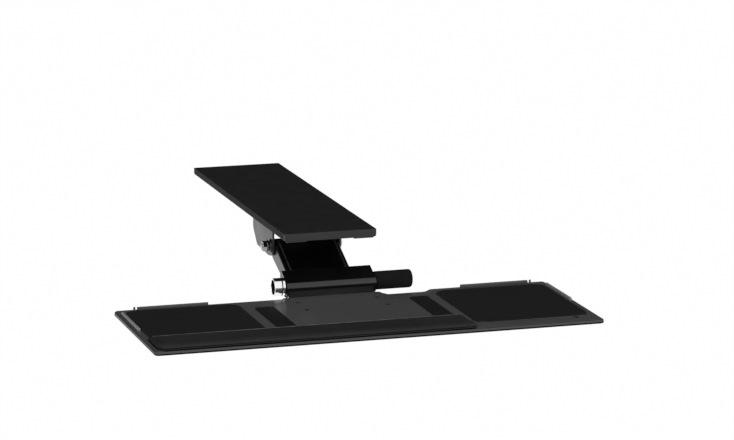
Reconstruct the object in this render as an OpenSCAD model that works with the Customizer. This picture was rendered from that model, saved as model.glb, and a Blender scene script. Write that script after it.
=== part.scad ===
// Keyboard tray on a sliding, swivelling lift arm, hung from a track.
// Millimetres, Z up. X runs along the board, the user sits towards -Y.
// The origin is the middle of the top face of the track.

/* [Track] */
// Length of the track with its end caps
track_len = 559; // [500:1:620]
// Width of the track
track_w = 147; // [142:1:160]
// Height of the track
track_h = 12; // [11.6:0.1:14]
// Sheet thickness of the track
track_t = 1.8; // [1.4:0.1:2.2]
// Width of the slot between the lips of the track
track_slot = 92; // [88:1:96]
// Corner radius of the bent track sides
track_r = 3.5; // [2.5:0.1:4.5]
// Diameter of the mounting screw holes
hole_d = 5; // [4:0.1:6]
// Distance between the two rows of mounting holes
hole_gauge = 60; // [40:1:76]
// Distance between mounting holes along the track
hole_pitch = 240; // [200:1:250]
// Thickness of the face of an end cap
cap_t = 3; // [2:0.1:5]
// Length of the plug of an end cap inside the track
cap_plug = 12; // [10:1:16]
// How far the feet of an end cap hang below the track
cap_foot = 1.4; // [1:0.1:2.4]
// Half distance between the feet of an end cap
foot_in = 38; // [30:1:42]
// Width of one foot of an end cap
foot_w = 31; // [28:1:33]
// Shank diameter of the cap rivets
rivet_d = 4; // [3:0.1:5]
// Height of the head of a cap rivet
rivet_head = 1; // [0.6:0.1:1.2]

/* [Carriage] */
// Length of the carriage plate
carriage_len = 120; // [110:1:140]
// Thickness of the carriage plate
plate_t = 3; // [2:0.1:4]
// How far the plate edge enters a glide
plate_grip = 14; // [10:1:16]
// Length of one glide block
glide_len = 40; // [30:1:50]
// Running clearance of the glides
glide_clear = 0.2; // [0.1:0.05:0.3]
// From the front of the track to the swivel axis, tray at rest
carriage_rest = 195; // [185:1:260]

/* [Swivel] */
// Diameter of the swivel bolt
swivel_d = 12; // [10:0.5:14]
// Height of the swivel bolt head
swivel_head = 2; // [1.2:0.1:2.2]
// Diameter of the turntable disc
disc_d = 80; // [60:1:84]
// Height of the swivel lock nut
swivel_nut_h = 7; // [5:0.1:9]
// Gap from the track lips down to the bracket
bracket_gap = 4; // [4:0.1:7]
// Sheet thickness of the swivel bracket
bracket_t = 3; // [2.5:0.1:3.5]
// Length of the bracket behind the swivel axis
bracket_back = 52; // [45:1:60]
// Radial running clearance of every pin and bolt
fit = 0.05; // [0.03:0.01:0.08]
// Gap between flat faces that turn on each other
face_gap = 0.1; // [0.05:0.05:0.2]

/* [Lift arm] */
// From the swivel axis forward to the rear pivot
pivot_reach = 50; // [48:1:56]
// From the top of the track down to the rear pivot
pivot_drop = 48.5; // [46:0.5:56]
// Arm length between its two pivots
arm_len = 114; // [105:1:130]
// Slope of the arm at rest, in degrees below level
arm_angle = 24; // [18:1:28]
// Outer width of the arm
arm_w = 104; // [98:1:108]
// Sheet thickness of the arm
arm_t = 2.5; // [2:0.1:3]
// Arm top above the pivot line
arm_top = 10.5; // [10.2:0.1:12]
// Arm lower edge below the pivot line at the rear
arm_deep = 18.5; // [16:0.5:20]
// Outer bend radius along the arm top
arm_r = 6; // [4:0.5:7]
// Diameter of the rear pivot bolt
bolt_d = 8; // [6:0.5:8.5]
// Diameter of the front pivot pin
pin_d = 8; // [6:0.5:8.5]
// Wall of a pivot bush
bush_wall = 2; // [1.2:0.1:2.5]
// Thickness of a bush flange
bush_flange = 1; // [0.8:0.1:1.5]
// Distance of the levelling link below the arm line
link_drop = 12; // [12:0.5:14]
// Half height of the levelling link
link_r = 4.2; // [3.8:0.1:4.4]
// Width of the levelling link
link_w = 40; // [30:1:42]
// Diameter of the link pins
link_pin_d = 5; // [4:0.5:5.5]
// Clearance of the link on its front pin
link_play = 0.4; // [0.3:0.05:0.6]
// Wire diameter of the lift springs
wire_d = 2.6; // [2:0.1:2.8]
// Turns of one lift spring
spring_turns = 4.5; // [2.5:1:5.5]
// Length of the straight spring legs
spring_leg = 24; // [18:1:26]
// Gap between neighbouring spring turns
turn_gap = 0.8; // [0.6:0.1:1]
// Small clearance between seated parts
seat_gap = 0.3; // [0.2:0.05:0.4]

/* [Tilt head] */
// From the front pivot forward to the tilt axis
tilt_reach = 31; // [30:0.5:36]
// From the front pivot up to the tilt axis
tilt_rise = 11.2; // [9:0.1:13]
// Sheet thickness of the head frame
head_t = 3; // [2.5:0.1:3.5]
// Half height of the head side plates
head_r = 10; // [9.5:0.1:10.4]
// How far the hood stands past the arm at each side
hood_over = 19.3; // [18.5:0.1:23]
// Wall of the hood
hood_wall = 2.2; // [1.6:0.1:2.6]
// Outer diameter of the tilt tube
tube_d = 16; // [14:0.5:16.5]
// Wall of the tilt tube
tube_wall = 1.95; // [1.6:0.05:2.2]
// Diameter of the tilt screw
screw_d = 6; // [5:0.5:6.5]
// Length of the travelling nut
nut_len = 16; // [12:1:20]
// Diameter of the follower pin on the nut
follower_d = 4; // [3:0.5:4.5]
// Nut travel per degree of tilt
nut_rate = 0.36; // [0.3:0.02:0.4]
// Tilt with the front of the board up, in degrees
tilt_up = 10; // [5:1:10]
// Tilt with the front of the board down, in degrees
tilt_down = 15; // [10:1:15]

/* [Dial] */
// Diameter of the dial
dial_d = 28.5; // [24:0.5:29]
// Length of the dial
dial_len = 59; // [45:0.5:62]
// Wall of the soft dial grip
grip_wall = 3; // [2:0.1:4]
// Length of the collar between hood and dial
collar_len = 2; // [1.6:0.1:4]
// Diameter of the collar
collar_d = 22; // [18:0.5:24]
// Diameter of the bright barrel at the other end
barrel_d = 28; // [24:0.5:29]
// Length of the barrel
barrel_len = 18; // [14:0.5:22]
// Wall of the barrel
barrel_wall = 1.6; // [1.2:0.1:2.5]
// Depth of the hollow in the plug that closes the barrel
plug_deep = 9; // [6:0.5:11]
// Wall of the plug around its hollow
plug_wall = 1.2; // [0.8:0.1:2]

/* [Board] */
// Width of the board
board_w = 689; // [660:1:720]
// Depth of the board
board_d = 266.7; // [255:0.1:280]
// Thickness of the board
board_t = 6.6; // [5:0.1:9]
// Bevel along the front and side edges of the board top
edge_bevel = 1.6; // [0.8:0.1:2.4]
// Radius of the rear corners of the board
board_r = 7; // [5:0.5:16]
// Radius of the front corners of the board
board_front_r = 3; // [2:0.5:12]
// From the tilt axis forward to the back edge of the board
board_set = 21.65; // [21:0.05:24]
// From the tilt axis down to the top of the board
board_drop = 14.3; // [14:0.1:17]
// How far the tongue behind the board stands past the hood at each side
tongue_over = 6.7; // [4:0.1:9]
// How far the tongue stands out behind the board
tongue_d = 7.65; // [6:0.05:8]
// From the end of the hood to the finger notch at the dial
notch_set = 13.7; // [11.5:0.1:18]
// Width of the finger notch
notch_w = 58; // [50:1:62]
// Depth of the finger notch
notch_d = 13.5; // [10:0.5:16]
// Sheet thickness of the plate bracket
plate_bracket_t = 3; // [2.5:0.1:3.5]
// Half distance between the board screws across
screw_x = 63.5; // [56:0.5:64]
// Distance of the rear board screws from the board back edge
screw_back = 28; // [24:0.5:34]
// Distance between the rows of board screws
screw_pitch = 51; // [40:0.5:56]
// Head diameter of the board screws
screw_head_d = 8; // [7:0.1:9]
// Shank diameter of the board screws
screw_shank_d = 4; // [3:0.1:4.5]

/* [Board top] */
// Thickness of the mouse pads
pad_t = 2; // [1.2:0.1:2.5]
// Depth of the recess that holds a mouse pad
pad_sink = 0.7; // [0.4:0.1:1]
// Gap around a mouse pad in its recess
pad_gap = 0.4; // [0.2:0.1:0.8]
// Width of a mouse pad
pad_w = 178; // [160:1:179]
// Outer side of a mouse pad from the board end
pad_edge = 11.5; // [11:0.5:14]
// Back edge of the right pad from the board back edge
pad_back_right = 18; // [10:0.5:22]
// Back edge of the left pad from the board back edge
pad_back_left = 12; // [10:0.5:20]
// Depth of the right mouse pad
pad_d = 219; // [200:1:225]
// Corner radius of a mouse pad
pad_r = 20; // [10:1:26]
// Corner radius of pads and strips where they meet the palm rest
meet_r = 1; // [0.8:0.1:4]
// Thickness of the grip strips
strip_t = 1.3; // [0.8:0.1:2]
// Width of a grip strip
strip_w = 29.5; // [26:0.5:36]
// Gap from a grip strip to the mouse pad beside it
strip_gap = 18; // [14:0.5:24]
// Back end of the strips from the board back edge
strip_back = 46; // [36:1:50]
// Corner radius of a grip strip
strip_r = 5; // [3:0.5:8]
// Height of the mouse guards
guard_h = 4.6; // [3:0.1:6]
// Width of the mouse guards
guard_w = 4; // [3:0.1:5]
// Length of a rear mouse guard
rear_guard_len = 111; // [90:1:114]
// Outer end of the left rear guard from the board end
rear_guard_left_set = 35; // [28:0.5:38]
// Outer end of the right rear guard from the board end
rear_guard_right_set = 29.5; // [26:0.5:38]
// Length of a side mouse guard
side_guard_len = 110; // [100:1:130]
// Rear end of a side guard from the board back edge
side_guard_back = 29; // [18:0.5:34]
// Gap from the rear guards to the board edge
guard_edge = 3; // [2:0.1:4]
// Gap from the side guards to the board end
side_guard_edge = 5; // [4.5:0.1:6]
// Diameter of the guard pegs
peg_d = 3.4; // [2:0.1:4]
// Height of the guard pegs
peg_h = 5; // [3:0.1:6]
// From the end of a rear guard to the peg beside it
peg_set = 4; // [3.5:0.1:8]

/* [Palm rest] */
// Gap from the palm rest to the right mouse pad
rest_gap = 7; // [3:0.5:20]
// Depth of the palm rest
rest_d = 76; // [60:1:82]
// Crown height of the cushion near its front
rest_h = 8; // [6:0.1:11]
// Height of the cushion near its back
rest_back_h = 2.4; // [2:0.1:4]
// Thickness of the tray under the cushion
rest_base_t = 1; // [0.8:0.1:2]
// Gap from the palm rest to the left and front board edges
rest_edge = 5; // [3:0.5:8]
// How far the cushion sides draw in at the base
rest_draw = 1.4; // [0.8:0.1:2]
// Plan radius of the palm rest corners
rest_r = 11; // [8:0.5:16]

/* [Hidden] */
$fn = 64;
corner_steps = 6;
bar_waist = 0.2;
cut = 1;

// Levels in the track
track_front = -track_len / 2;
inside_w = track_w - 2 * track_t;
inside_mid = -track_h / 2;
inside_h = track_h - 2 * track_t;
plug_clear = 0.2;
rivet_x = foot_in + foot_w - 8;
glide_x = track_slot / 2 + 4;
plate_x = glide_x + plate_grip;
plate_low = inside_mid - plate_t / 2;
bracket_top = -track_h - bracket_gap;
web_low = bracket_top - bracket_t;
swivel_y = track_front + carriage_rest;

// Pivots of the arm, each as [y, z]
rear = [swivel_y - pivot_reach, -pivot_drop];
front = rear + arm_len * [-cos(arm_angle), -sin(arm_angle)];
link_off = link_drop * [sin(arm_angle), -cos(arm_angle)];
tilt = front + [-tilt_reach, tilt_rise];
ear_x = arm_w / 2 + bush_flange;
ear_out = ear_x + bracket_t;
lug_x = link_w / 2 + 2;
lug_r = link_r + 1;
lug_t = 3;
coil_r = arm_top - arm_t - seat_gap - wire_d / 2;
anchor_d = 6;
anchor_back = spring_leg - 2;
anchor_z = -(coil_r - wire_d / 2 - anchor_d / 2 - seat_gap);

// Rear pivot stack, outwards from the left ear
washer_t = 1.4;
disc_spring_t = 3.2;
nut_h = 7;
nut_flats = 15;
bolt_head_h = 4;
bolt_end = 2;

// Tilt head
plate_in = arm_w / 2 + bush_flange + 1;
plate_out = plate_in + head_t;
cross_y = tilt_reach / 2 - 2.5;
hood_x = arm_w / 2 + hood_over;
hood_w = 2 * hood_x;
ear_tray_x = plate_out + 4;
tray_ear_wall = 2;
tube_half = ear_tray_x + plate_bracket_t + 2;
tube_bore = tube_d - 2 * tube_wall;
follower_tip = cross_y - 0.5;
guide_in = tube_d / 2 + 1;
tilt_steps = 12;
tilt_start = -tilt_up;
tilt_span = tilt_up + tilt_down;
dial_x = hood_x + collar_len;

// Board frame, origin in the middle of the board top
board_y = tilt[0] - board_set - board_d / 2;
board_z = tilt[1] - board_drop;
board_back = board_d / 2;
flange_y = board_back + tongue_d + 0.2;
tongue_w = hood_w + 2 * tongue_over;
notch_in = hood_x + notch_set;
pad_in = board_w / 2 - pad_edge - pad_w;
strip_in = pad_in - strip_gap - strip_w;
rear_guard_x0 = rear_guard_left_set - board_w / 2;
rear_guard_x1 = board_w / 2 - rear_guard_right_set;
rest_x = -board_w / 2 + rest_edge;
rest_len = pad_in - rest_gap - rest_x;
rest_y = -board_back + rest_edge;
soft_front = rest_y + rest_d + 3;

// Outlines and placing
function unit(v) = v / norm(v);
function corner(p, c, n) =
    let (k = [c[0], c[1]], a = unit([p[0], p[1]] - k), b = unit([n[0], n[1]] - k), h = acos(a * b) / 2)
    let (m = k + unit(a + b) * c[2] / sin(h))
    let (s = k + a * c[2] / tan(h) - m, e = k + b * c[2] / tan(h) - m)
    let (t = atan2(s[1], s[0]), d = atan2(s[0] * e[1] - s[1] * e[0], s * e))
    c[2] == 0 ? [k] :
        [for (i = [0 : corner_steps]) let (w = t + d * i / corner_steps) m + c[2] * [cos(w), sin(w)]];
function rounded(q) =
    [for (i = [0 : len(q) - 1]) each corner(q[(i + len(q) - 1) % len(q)], q[i], q[(i + 1) % len(q)])];

module round_rect(x0, x1, y0, y1, r) {
    polygon(rounded([[x0, y0, r], [x1, y0, r], [x1, y1, r], [x0, y1, r]]));
}

// Draws a (Y, Z) outline as a solid from x0 to x1
module along_x(x0, x1) {
    translate([x0, 0, 0]) rotate([90, 0, 90]) linear_extrude(x1 - x0) children();
}

module rod_x(x0, x1, d) {
    along_x(x0, x1) circle(d = d);
}

module at_point(p) {
    translate([0, p[0], p[1]]) children();
}

module both_sides() {
    children();
    mirror([1, 0, 0]) children();
}

module at_board() {
    translate([0, board_y, board_z]) children();
}

// Lays children out along the arm: Y forward from the rear pivot, Z square to the arm
module at_arm() {
    at_point(rear) rotate([arm_angle, 0, 0]) mirror([0, 1, 0]) children();
}

// Bar outline with round ends between two (Y, Z) points, a little slimmer between them
module bar(a, b, r) {
    half = r - bar_waist;
    translate(a) circle(r);
    translate(b) circle(r);
    translate(a) rotate(atan2(b[1] - a[1], b[0] - a[0]))
        translate([0, -half]) square([norm(b - a), 2 * half]);
}

// Track
module track_section() {
    difference() {
        union() {
            round_rect(-track_w / 2, track_w / 2, -track_h, 0, track_r);
            translate([-track_w / 2, -track_r]) square([track_w, track_r]);
        }
        translate([-inside_w / 2, -track_h + track_t]) square([inside_w, inside_h]);
        translate([-track_slot / 2, -track_h - cut]) square([track_slot, track_h / 2]);
    }
}

module rivet_holes(d) {
    for (x = [-rivet_x, rivet_x], y = [-1, 1])
        translate([x, y * (track_len / 2 - cap_t - cap_plug / 2), -track_h - cap_foot - cut])
            cylinder(d = d, h = cap_foot + track_t + cut + 3);
}

module track() {
    color("#2b2b2d") difference() {
        rotate([90, 0, 0]) translate([0, 0, -track_len / 2 + cap_t])
            linear_extrude(track_len - 2 * cap_t) track_section();
        for (x = [-1, 1], y = [-1 : 1])
            translate([x * hole_gauge / 2, y * hole_pitch, -track_t - cut])
                cylinder(d = hole_d, h = track_t + 2 * cut);
        rivet_holes(rivet_d);
    }
}

module end_cap() {
    low = -track_h + track_t + plug_clear;
    difference() {
        union() {
            rotate([90, 0, 0]) translate([0, 0, track_len / 2 - cap_t]) linear_extrude(cap_t) union() {
                round_rect(-track_w / 2, track_w / 2, -track_h, 0, track_r);
                translate([-track_w / 2, -track_r]) square([track_w, track_r]);
            }
            translate([-inside_w / 2 + plug_clear, track_front + cap_t, low])
                cube([inside_w - 2 * plug_clear, cap_plug, inside_h - 2 * plug_clear]);
            both_sides() translate([foot_in, track_front, -track_h - cap_foot])
                cube([foot_w, cap_t + cap_plug, cap_foot]);
            both_sides() translate([foot_in, track_front, -track_h - cap_foot])
                cube([foot_w, cap_t, cap_foot + track_t]);
        }
        rivet_holes(rivet_d);
    }
}

module front_cap() {
    color("#1f1f21") end_cap();
}

module rear_cap() {
    color("#1f1f21") mirror([0, 1, 0]) end_cap();
}

module cap_rivets() {
    color("silver") for (x = [-rivet_x, rivet_x], y = [-1, 1])
        translate([x, y * (track_len / 2 - cap_t - cap_plug / 2), -track_h - cap_foot - rivet_head]) {
            cylinder(d = rivet_d * 1.8, h = rivet_head);
            cylinder(d = rivet_d, h = rivet_head + cap_foot + track_t + 2);
        }
}

// Carriage
module carriage_plate() {
    color("#4a4a4c") translate([0, swivel_y, plate_low]) difference() {
        linear_extrude(plate_t) round_rect(-plate_x, plate_x, -carriage_len / 2, carriage_len / 2, 4);
        translate([0, 0, -cut]) cylinder(d = swivel_d, h = plate_t + 2 * cut);
    }
}

module glides() {
    high = inside_h - 2 * glide_clear;
    out = inside_w / 2 - glide_clear;
    color("#e8e6df") for (side = [0, 1], y = [-1, 1])
        mirror([side, 0, 0]) translate([0, swivel_y + y * (carriage_len - glide_len) / 2, inside_mid])
            difference() {
                translate([glide_x, -glide_len / 2, -high / 2]) cube([out - glide_x, glide_len, high]);
                translate([0, -carriage_len / 2, -plate_t / 2]) cube([plate_x, carriage_len, plate_t]);
            }
}

module swivel_bolt() {
    color("silver") translate([0, swivel_y, 0]) {
        translate([0, 0, plate_low + plate_t]) cylinder(d = 2 * swivel_d, h = swivel_head);
        translate([0, 0, web_low - face_gap - swivel_nut_h - 1])
            cylinder(d = swivel_d, h = plate_low + plate_t - web_low + face_gap + swivel_nut_h + 1);
    }
}

module swivel_nut() {
    color("silver") translate([0, swivel_y, web_low - face_gap - swivel_nut_h]) difference() {
        union() {
            cylinder(d = 1.6 * swivel_d / cos(30), h = swivel_nut_h, $fn = 6);
            translate([0, 0, swivel_nut_h - 1.5]) cylinder(d = 2.4 * swivel_d, h = 1.5);
        }
        translate([0, 0, -cut]) cylinder(d = swivel_d, h = swivel_nut_h + 2 * cut);
    }
}

// Swivel bracket and rear pivot
module turntable_disc() {
    color("#e8e6df") translate([0, swivel_y, bracket_top]) difference() {
        cylinder(d = disc_d, h = plate_low - face_gap - bracket_top);
        translate([0, 0, -cut]) cylinder(d = swivel_d + 2 * fit, h = track_h);
    }
}

module ear_outline() {
    top = bracket_top - rear[1];
    back = pivot_reach + bracket_back;
    ear_chamfer = 24;
    polygon(rounded([[-14, top, 0], [-14, -14, 13], [12, -arm_deep + 1, 7], [back - ear_chamfer, -14, 10],
        [back, 10, 12], [back, top, 0]]));
}

module swivel_bracket() {
    color("#1c1c1e") at_point(rear) difference() {
        union() {
            both_sides() along_x(ear_x, ear_out) ear_outline();
            along_x(-ear_out, ear_out) translate([-14, web_low - rear[1]])
                square([14 + pivot_reach + bracket_back, bracket_t]);
            both_sides() along_x(lug_x, lug_x + lug_t) {
                translate([bolt_d / 2 + 1.5, link_off[1]])
                    square([9, bracket_top - rear[1] - link_off[1]]);
                translate(link_off) circle(lug_r);
                translate([link_off[0], link_off[1] - lug_r])
                    square([bolt_d / 2 + 10.5 - link_off[0], 2 * lug_r]);
            }
        }
        rod_x(-track_w, track_w, bolt_d);
        at_point(link_off) rod_x(-ear_x, ear_x, link_pin_d);
        at_point([anchor_back, anchor_z]) rod_x(-track_w, track_w, anchor_d - 2);
        translate([0, pivot_reach, web_low - rear[1] - cut])
            cylinder(d = swivel_d + 2 * fit, h = bracket_t + 2 * cut);
    }
}

module pivot_bolt() {
    stack = washer_t * 2 + disc_spring_t + nut_h + bolt_end;
    color("#b9bbbe") at_point(rear) {
        rod_x(-ear_out - stack, ear_out + bolt_head_h, bolt_d);
        along_x(ear_out, ear_out + bolt_head_h) circle(d = nut_flats / cos(30), $fn = 6);
    }
}

module stack_ring(x0, x1, d) {
    at_point(rear) along_x(-x1, -x0) difference() {
        circle(d = d);
        circle(d = bolt_d);
    }
}

module thrust_washers() {
    color("silver") {
        stack_ring(ear_out, ear_out + washer_t, 22);
        stack_ring(ear_out + washer_t + disc_spring_t, ear_out + 2 * washer_t + disc_spring_t, 20);
    }
}

module disc_springs() {
    color("#8d8f92") for (i = [0, 1])
        at_point(rear) translate([-ear_out - washer_t - i * disc_spring_t, 0, 0]) mirror([i, 0, 0])
            rotate([0, -90, 0]) rotate_extrude()
                polygon([[bolt_d / 2, disc_spring_t / 2], [bolt_d / 2, disc_spring_t / 4],
                    [9, 0], [9, disc_spring_t / 4]]);
}

module lock_nut() {
    x = ear_out + 2 * washer_t + disc_spring_t;
    color("#3a3a3c") at_point(rear) along_x(-x - nut_h, -x) difference() {
        circle(d = nut_flats / cos(30), $fn = 6);
        circle(d = bolt_d);
    }
}

module spring_anchor() {
    color("silver") at_point(rear + [anchor_back, anchor_z]) {
        rod_x(-ear_x, ear_x, anchor_d);
        rod_x(-ear_out, ear_out, anchor_d - 2);
    }
}

module rear_link_pin() {
    color("silver") at_point(rear + link_off) rod_x(-lug_x - lug_t - 1, lug_x + lug_t + 1, link_pin_d);
}

// Lift springs: wire centres of one spring, legs and all, about the rear pivot
wire_sides = 6;
spring_rings = 8 * spring_turns;
spring_pitch = wire_d + turn_gap;
spring_x = lug_x + lug_t + wire_d / 2 + 1.5;
spring_start = 90 + arm_angle;
spring_spin = spring_turns * 360 - arm_angle;
function coil_dir(i) = let (w = spring_start + spring_spin * i / spring_rings) [0, cos(w), sin(w)];
function coil_tangent(i) = let (w = spring_start + spring_spin * i / spring_rings) [0, -sin(w), cos(w)];
function coil_point(i) =
    [spring_x + spring_pitch * spring_turns * i / spring_rings, 0, 0] + coil_r * coil_dir(i);
spring_path = concat([coil_point(0) - spring_leg * coil_tangent(0)],
    [for (i = [0 : spring_rings]) coil_point(i)],
    [coil_point(spring_rings) + spring_leg * coil_tangent(spring_rings)]);
spring_last = len(spring_path) - 1;
function spring_index(i) = max(0, min(spring_rings, i - 1));
spring_skin = [for (i = [0 : spring_last], k = [0 : wire_sides - 1])
    let (j = spring_index(i), r = coil_dir(j), w = 360 * k / wire_sides)
        spring_path[i] + wire_d / 2 * (cos(w) * r + sin(w) * cross(coil_tangent(j), r))];
spring_sides = [for (i = [0 : spring_last - 1], k = [0 : wire_sides - 1])
    let (a = wire_sides * i + k, b = wire_sides * i + (k + 1) % wire_sides)
        each [[a, b, a + wire_sides], [b, b + wire_sides, a + wire_sides]]];
spring_tip = wire_sides * spring_last;
spring_ends = [for (k = [1 : wire_sides - 2])
    each [[0, k + 1, k], [spring_tip, spring_tip + k, spring_tip + k + 1]]];
spring_gap = min([for (i = [0 : spring_last], j = [0 : spring_last])
    if (j - i > 4) norm(spring_path[i] - spring_path[j]) - wire_d]);
echo(least_gap_in_lift_spring = spring_gap);

module lift_springs() {
    color("#6f7175") at_point(rear) both_sides()
        polyhedron(spring_skin, [for (f = concat(spring_sides, spring_ends)) [f[0], f[2], f[1]]]);
}

// Lift arm and levelling link
module arm_outline() {
    tip = arm_len + arm_top;
    polygon(rounded([[-arm_top, arm_top, arm_top - 0.1], [tip, arm_top, arm_top - 0.1],
        [tip, -arm_top, arm_top - 0.1], [6, -arm_deep, 8], [-arm_top, -arm_top + 2, 5]]));
}

module arm_section() {
    half = arm_w / 2;
    difference() {
        round_rect(-half, half, -2 * arm_deep, arm_top, arm_r);
        round_rect(-half + arm_t, half - arm_t, -3 * arm_deep, arm_top - arm_t, arm_r - arm_t);
    }
}

module arm_channel() {
    color("#161617") at_arm() difference() {
        intersection() {
            along_x(-arm_w, arm_w) arm_outline();
            translate([0, -2 * arm_top, 0]) rotate([90, 0, 0]) mirror([0, 0, 1])
                linear_extrude(arm_len + 4 * arm_top) arm_section();
        }
        translate([-lug_x - lug_t - 1.5, -2 * arm_top, 0])
            cube([2 * (lug_x + lug_t + 1.5), 2 * arm_top + 4, 2 * arm_top]);
        rod_x(-arm_w, arm_w, bolt_d + 2 * bush_wall);
        translate([0, arm_len, 0]) rod_x(-arm_w, arm_w, pin_d + 2 * bush_wall);
    }
}

module bush(d, flange) {
    inner = arm_w / 2 - arm_t;
    both_sides() difference() {
        union() {
            rod_x(inner, arm_w / 2, d + 2 * bush_wall);
            rod_x(arm_w / 2, arm_w / 2 + flange, d + 2 * bush_wall + 5);
        }
        rod_x(0, arm_w, d + 2 * fit);
    }
}

module arm_bushes() {
    color("#a8844a") {
        at_arm() bush(bolt_d, bush_flange - face_gap);
        at_arm() translate([0, arm_len, 0]) bush(pin_d, plate_in - arm_w / 2 - face_gap);
    }
}

module level_link() {
    reach = front - rear;
    color("#2a2a2c") at_point(rear + link_off) difference() {
        along_x(-link_w / 2, link_w / 2) bar([0, 0], reach, link_r);
        along_x(-link_w / 2 + 6, link_w / 2 - 6) bar(reach * 0.14, reach * 0.86, link_r + cut);
        rod_x(-link_w, link_w, link_pin_d + 2 * fit);
        at_point(reach) rod_x(-link_w, link_w, link_pin_d + 2 * link_play);
    }
}

// Tilt head
module head_frame() {
    color("#1c1c1e") at_point(tilt) difference() {
        union() {
            both_sides() along_x(plate_in, plate_out) bar([0, 0], [tilt_reach, -tilt_rise], head_r);
            along_x(-plate_out, plate_out) translate([cross_y, -tilt_rise + link_off[1] - lug_r])
                square([head_t, tilt_rise - link_off[1] + lug_r + 13]);
            both_sides() along_x(lug_x, lug_x + lug_t) translate([0, -tilt_rise + link_off[1]]) {
                translate([cross_y + head_t / 2, -lug_r])
                    square([tilt_reach + link_off[0] - cross_y - head_t / 2, 2 * lug_r]);
                translate([tilt_reach + link_off[0], 0]) circle(lug_r);
            }
            along_x(-nut_len, nut_len) translate([guide_in, -5]) square([cross_y - guide_in + cut, 10]);
        }
        rod_x(-hood_w, hood_w, tube_d + 2 * fit);
        at_point([tilt_reach, -tilt_rise]) rod_x(-hood_w, hood_w, pin_d);
        at_point([tilt_reach, -tilt_rise] + link_off) rod_x(-plate_in + cut, plate_in - cut, link_pin_d);
        translate([nut_rate * tilt_start - follower_d / 2 - 1, 0, -follower_d / 2 - face_gap])
            cube([nut_rate * tilt_span + follower_d + 2, cross_y, follower_d + 2 * face_gap]);
        for (x = [-hood_screw_x, hood_screw_x])
            translate([x, 0, hood_screw_z]) rotate([-90, 0, 0]) cylinder(d = 3, h = 2 * cross_y);
    }
}

module front_pin() {
    color("silver") at_point(front) rod_x(-plate_out - 2.5, plate_out + 2.5, pin_d);
}

module pin_clips() {
    color("#3a3a3c") at_point(front) both_sides() along_x(plate_out, plate_out + 1.2) difference() {
        circle(d = pin_d + 6);
        circle(d = pin_d);
    }
}

module front_link_pin() {
    color("silver") at_point(front + link_off) rod_x(-lug_x - lug_t - 1, lug_x + lug_t + 1, link_pin_d);
}

// Hood outline about the tilt axis: lip, nose, sloping top and back, each point with its radius
hood_line = [[-17.6, -3.6, 0.6], [-19.6, 1.4, 6], [-13.6, 8, 7], [16.5, 21.2, 3], [23, 19.5, 3],
    [23, 3.4, 0.6]];
hood_last = len(hood_line) - 1;
hood_back = hood_line[hood_last][0];

// Moves the corner at c of an outline inwards by d
function edge_shift(a, b, d) = let (t = unit([b[0] - a[0], b[1] - a[1]])) d * [t[1], -t[0]];
function inset_point(p, c, n, d) =
    let (u = edge_shift(p, c, d), v = edge_shift(c, n, d), m = unit(u + v))
    concat([c[0], c[1]] + m * d * d / (m * u), [max(0.3, c[2] - d)]);
hood_inner = concat([[hood_back - hood_wall, hood_line[hood_last][1], 0.4]],
    [for (i = [hood_last - 1 : -1 : 1])
        inset_point(hood_line[i - 1], hood_line[i], hood_line[i + 1], hood_wall)],
    [[hood_line[0][0] + hood_wall, hood_line[0][1], 0.4]]);
hood_low = -board_drop + 1;
hood_end = concat([for (i = [0 : hood_last - 1]) hood_line[i]],
    [[hood_back, 0, 4], [hood_back - 6, hood_low, 4], [-14.6, hood_low + 0.7, 1]]);
hood_screw_x = 35;
hood_screw_z = 8;

module hood() {
    boss = hood_back - hood_wall - cross_y - head_t;
    color("#202022") at_point(tilt) difference() {
        union() {
            along_x(-hood_x + hood_wall, hood_x - hood_wall)
                polygon(rounded(concat(hood_line, hood_inner)));
            both_sides() along_x(hood_x - hood_wall, hood_x) polygon(rounded(hood_end));
            for (x = [-hood_screw_x, hood_screw_x])
                translate([x, cross_y + head_t, hood_screw_z])
                    rotate([-90, 0, 0]) cylinder(d = 8, h = boss + 0.5);
        }
        rod_x(-hood_w, hood_w, collar_d - 4);
        for (x = [-hood_screw_x, hood_screw_x])
            translate([x, 0, hood_screw_z]) rotate([-90, 0, 0]) cylinder(d = 3, h = 2 * hood_back);
    }
}

module hood_screws() {
    color("silver") at_point(tilt) for (x = [-hood_screw_x, hood_screw_x])
        translate([x, 0, hood_screw_z]) rotate([-90, 0, 0]) {
            translate([0, 0, cross_y]) cylinder(d = 3, h = hood_back - cross_y + 0.5);
            translate([0, 0, hood_back]) cylinder(d = 6, h = 1.6);
        }
}

module barrel() {
    color("#d9dbdd") at_point(tilt) difference() {
        union() {
            rod_x(-hood_x - barrel_len, -hood_x, barrel_d - 2);
            rod_x(-hood_x - barrel_len, -hood_x - 4.2, barrel_d);
            rod_x(-hood_x - 3.4, -hood_x, barrel_d);
        }
        rod_x(-hood_x - barrel_len - cut, -hood_x - 3, barrel_d - 2 * barrel_wall - 2);
        rod_x(-hood_x - barrel_len, -hood_x + cut, screw_d + 4);
    }
}

module barrel_plug() {
    d = barrel_d - 2 * barrel_wall - 2;
    end = -hood_x - barrel_len;
    color("#101011") at_point(tilt) difference() {
        rod_x(end + 0.6, -hood_x - 3, d);
        rod_x(end - cut, end + plug_deep, d - 2 * plug_wall);
    }
}

module dial_collar() {
    color("#2a2a2c") at_point(tilt) difference() {
        union() {
            rod_x(hood_x, dial_x - face_gap, collar_d);
            rod_x(hood_x - hood_wall, hood_x, collar_d - 4);
        }
        rod_x(0, dial_x, screw_d + 2 * fit);
    }
}

// Tilt drive
module tilt_screw() {
    color("silver") at_point(tilt) rod_x(-tube_half, dial_x + dial_len - 8, screw_d);
}

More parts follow.
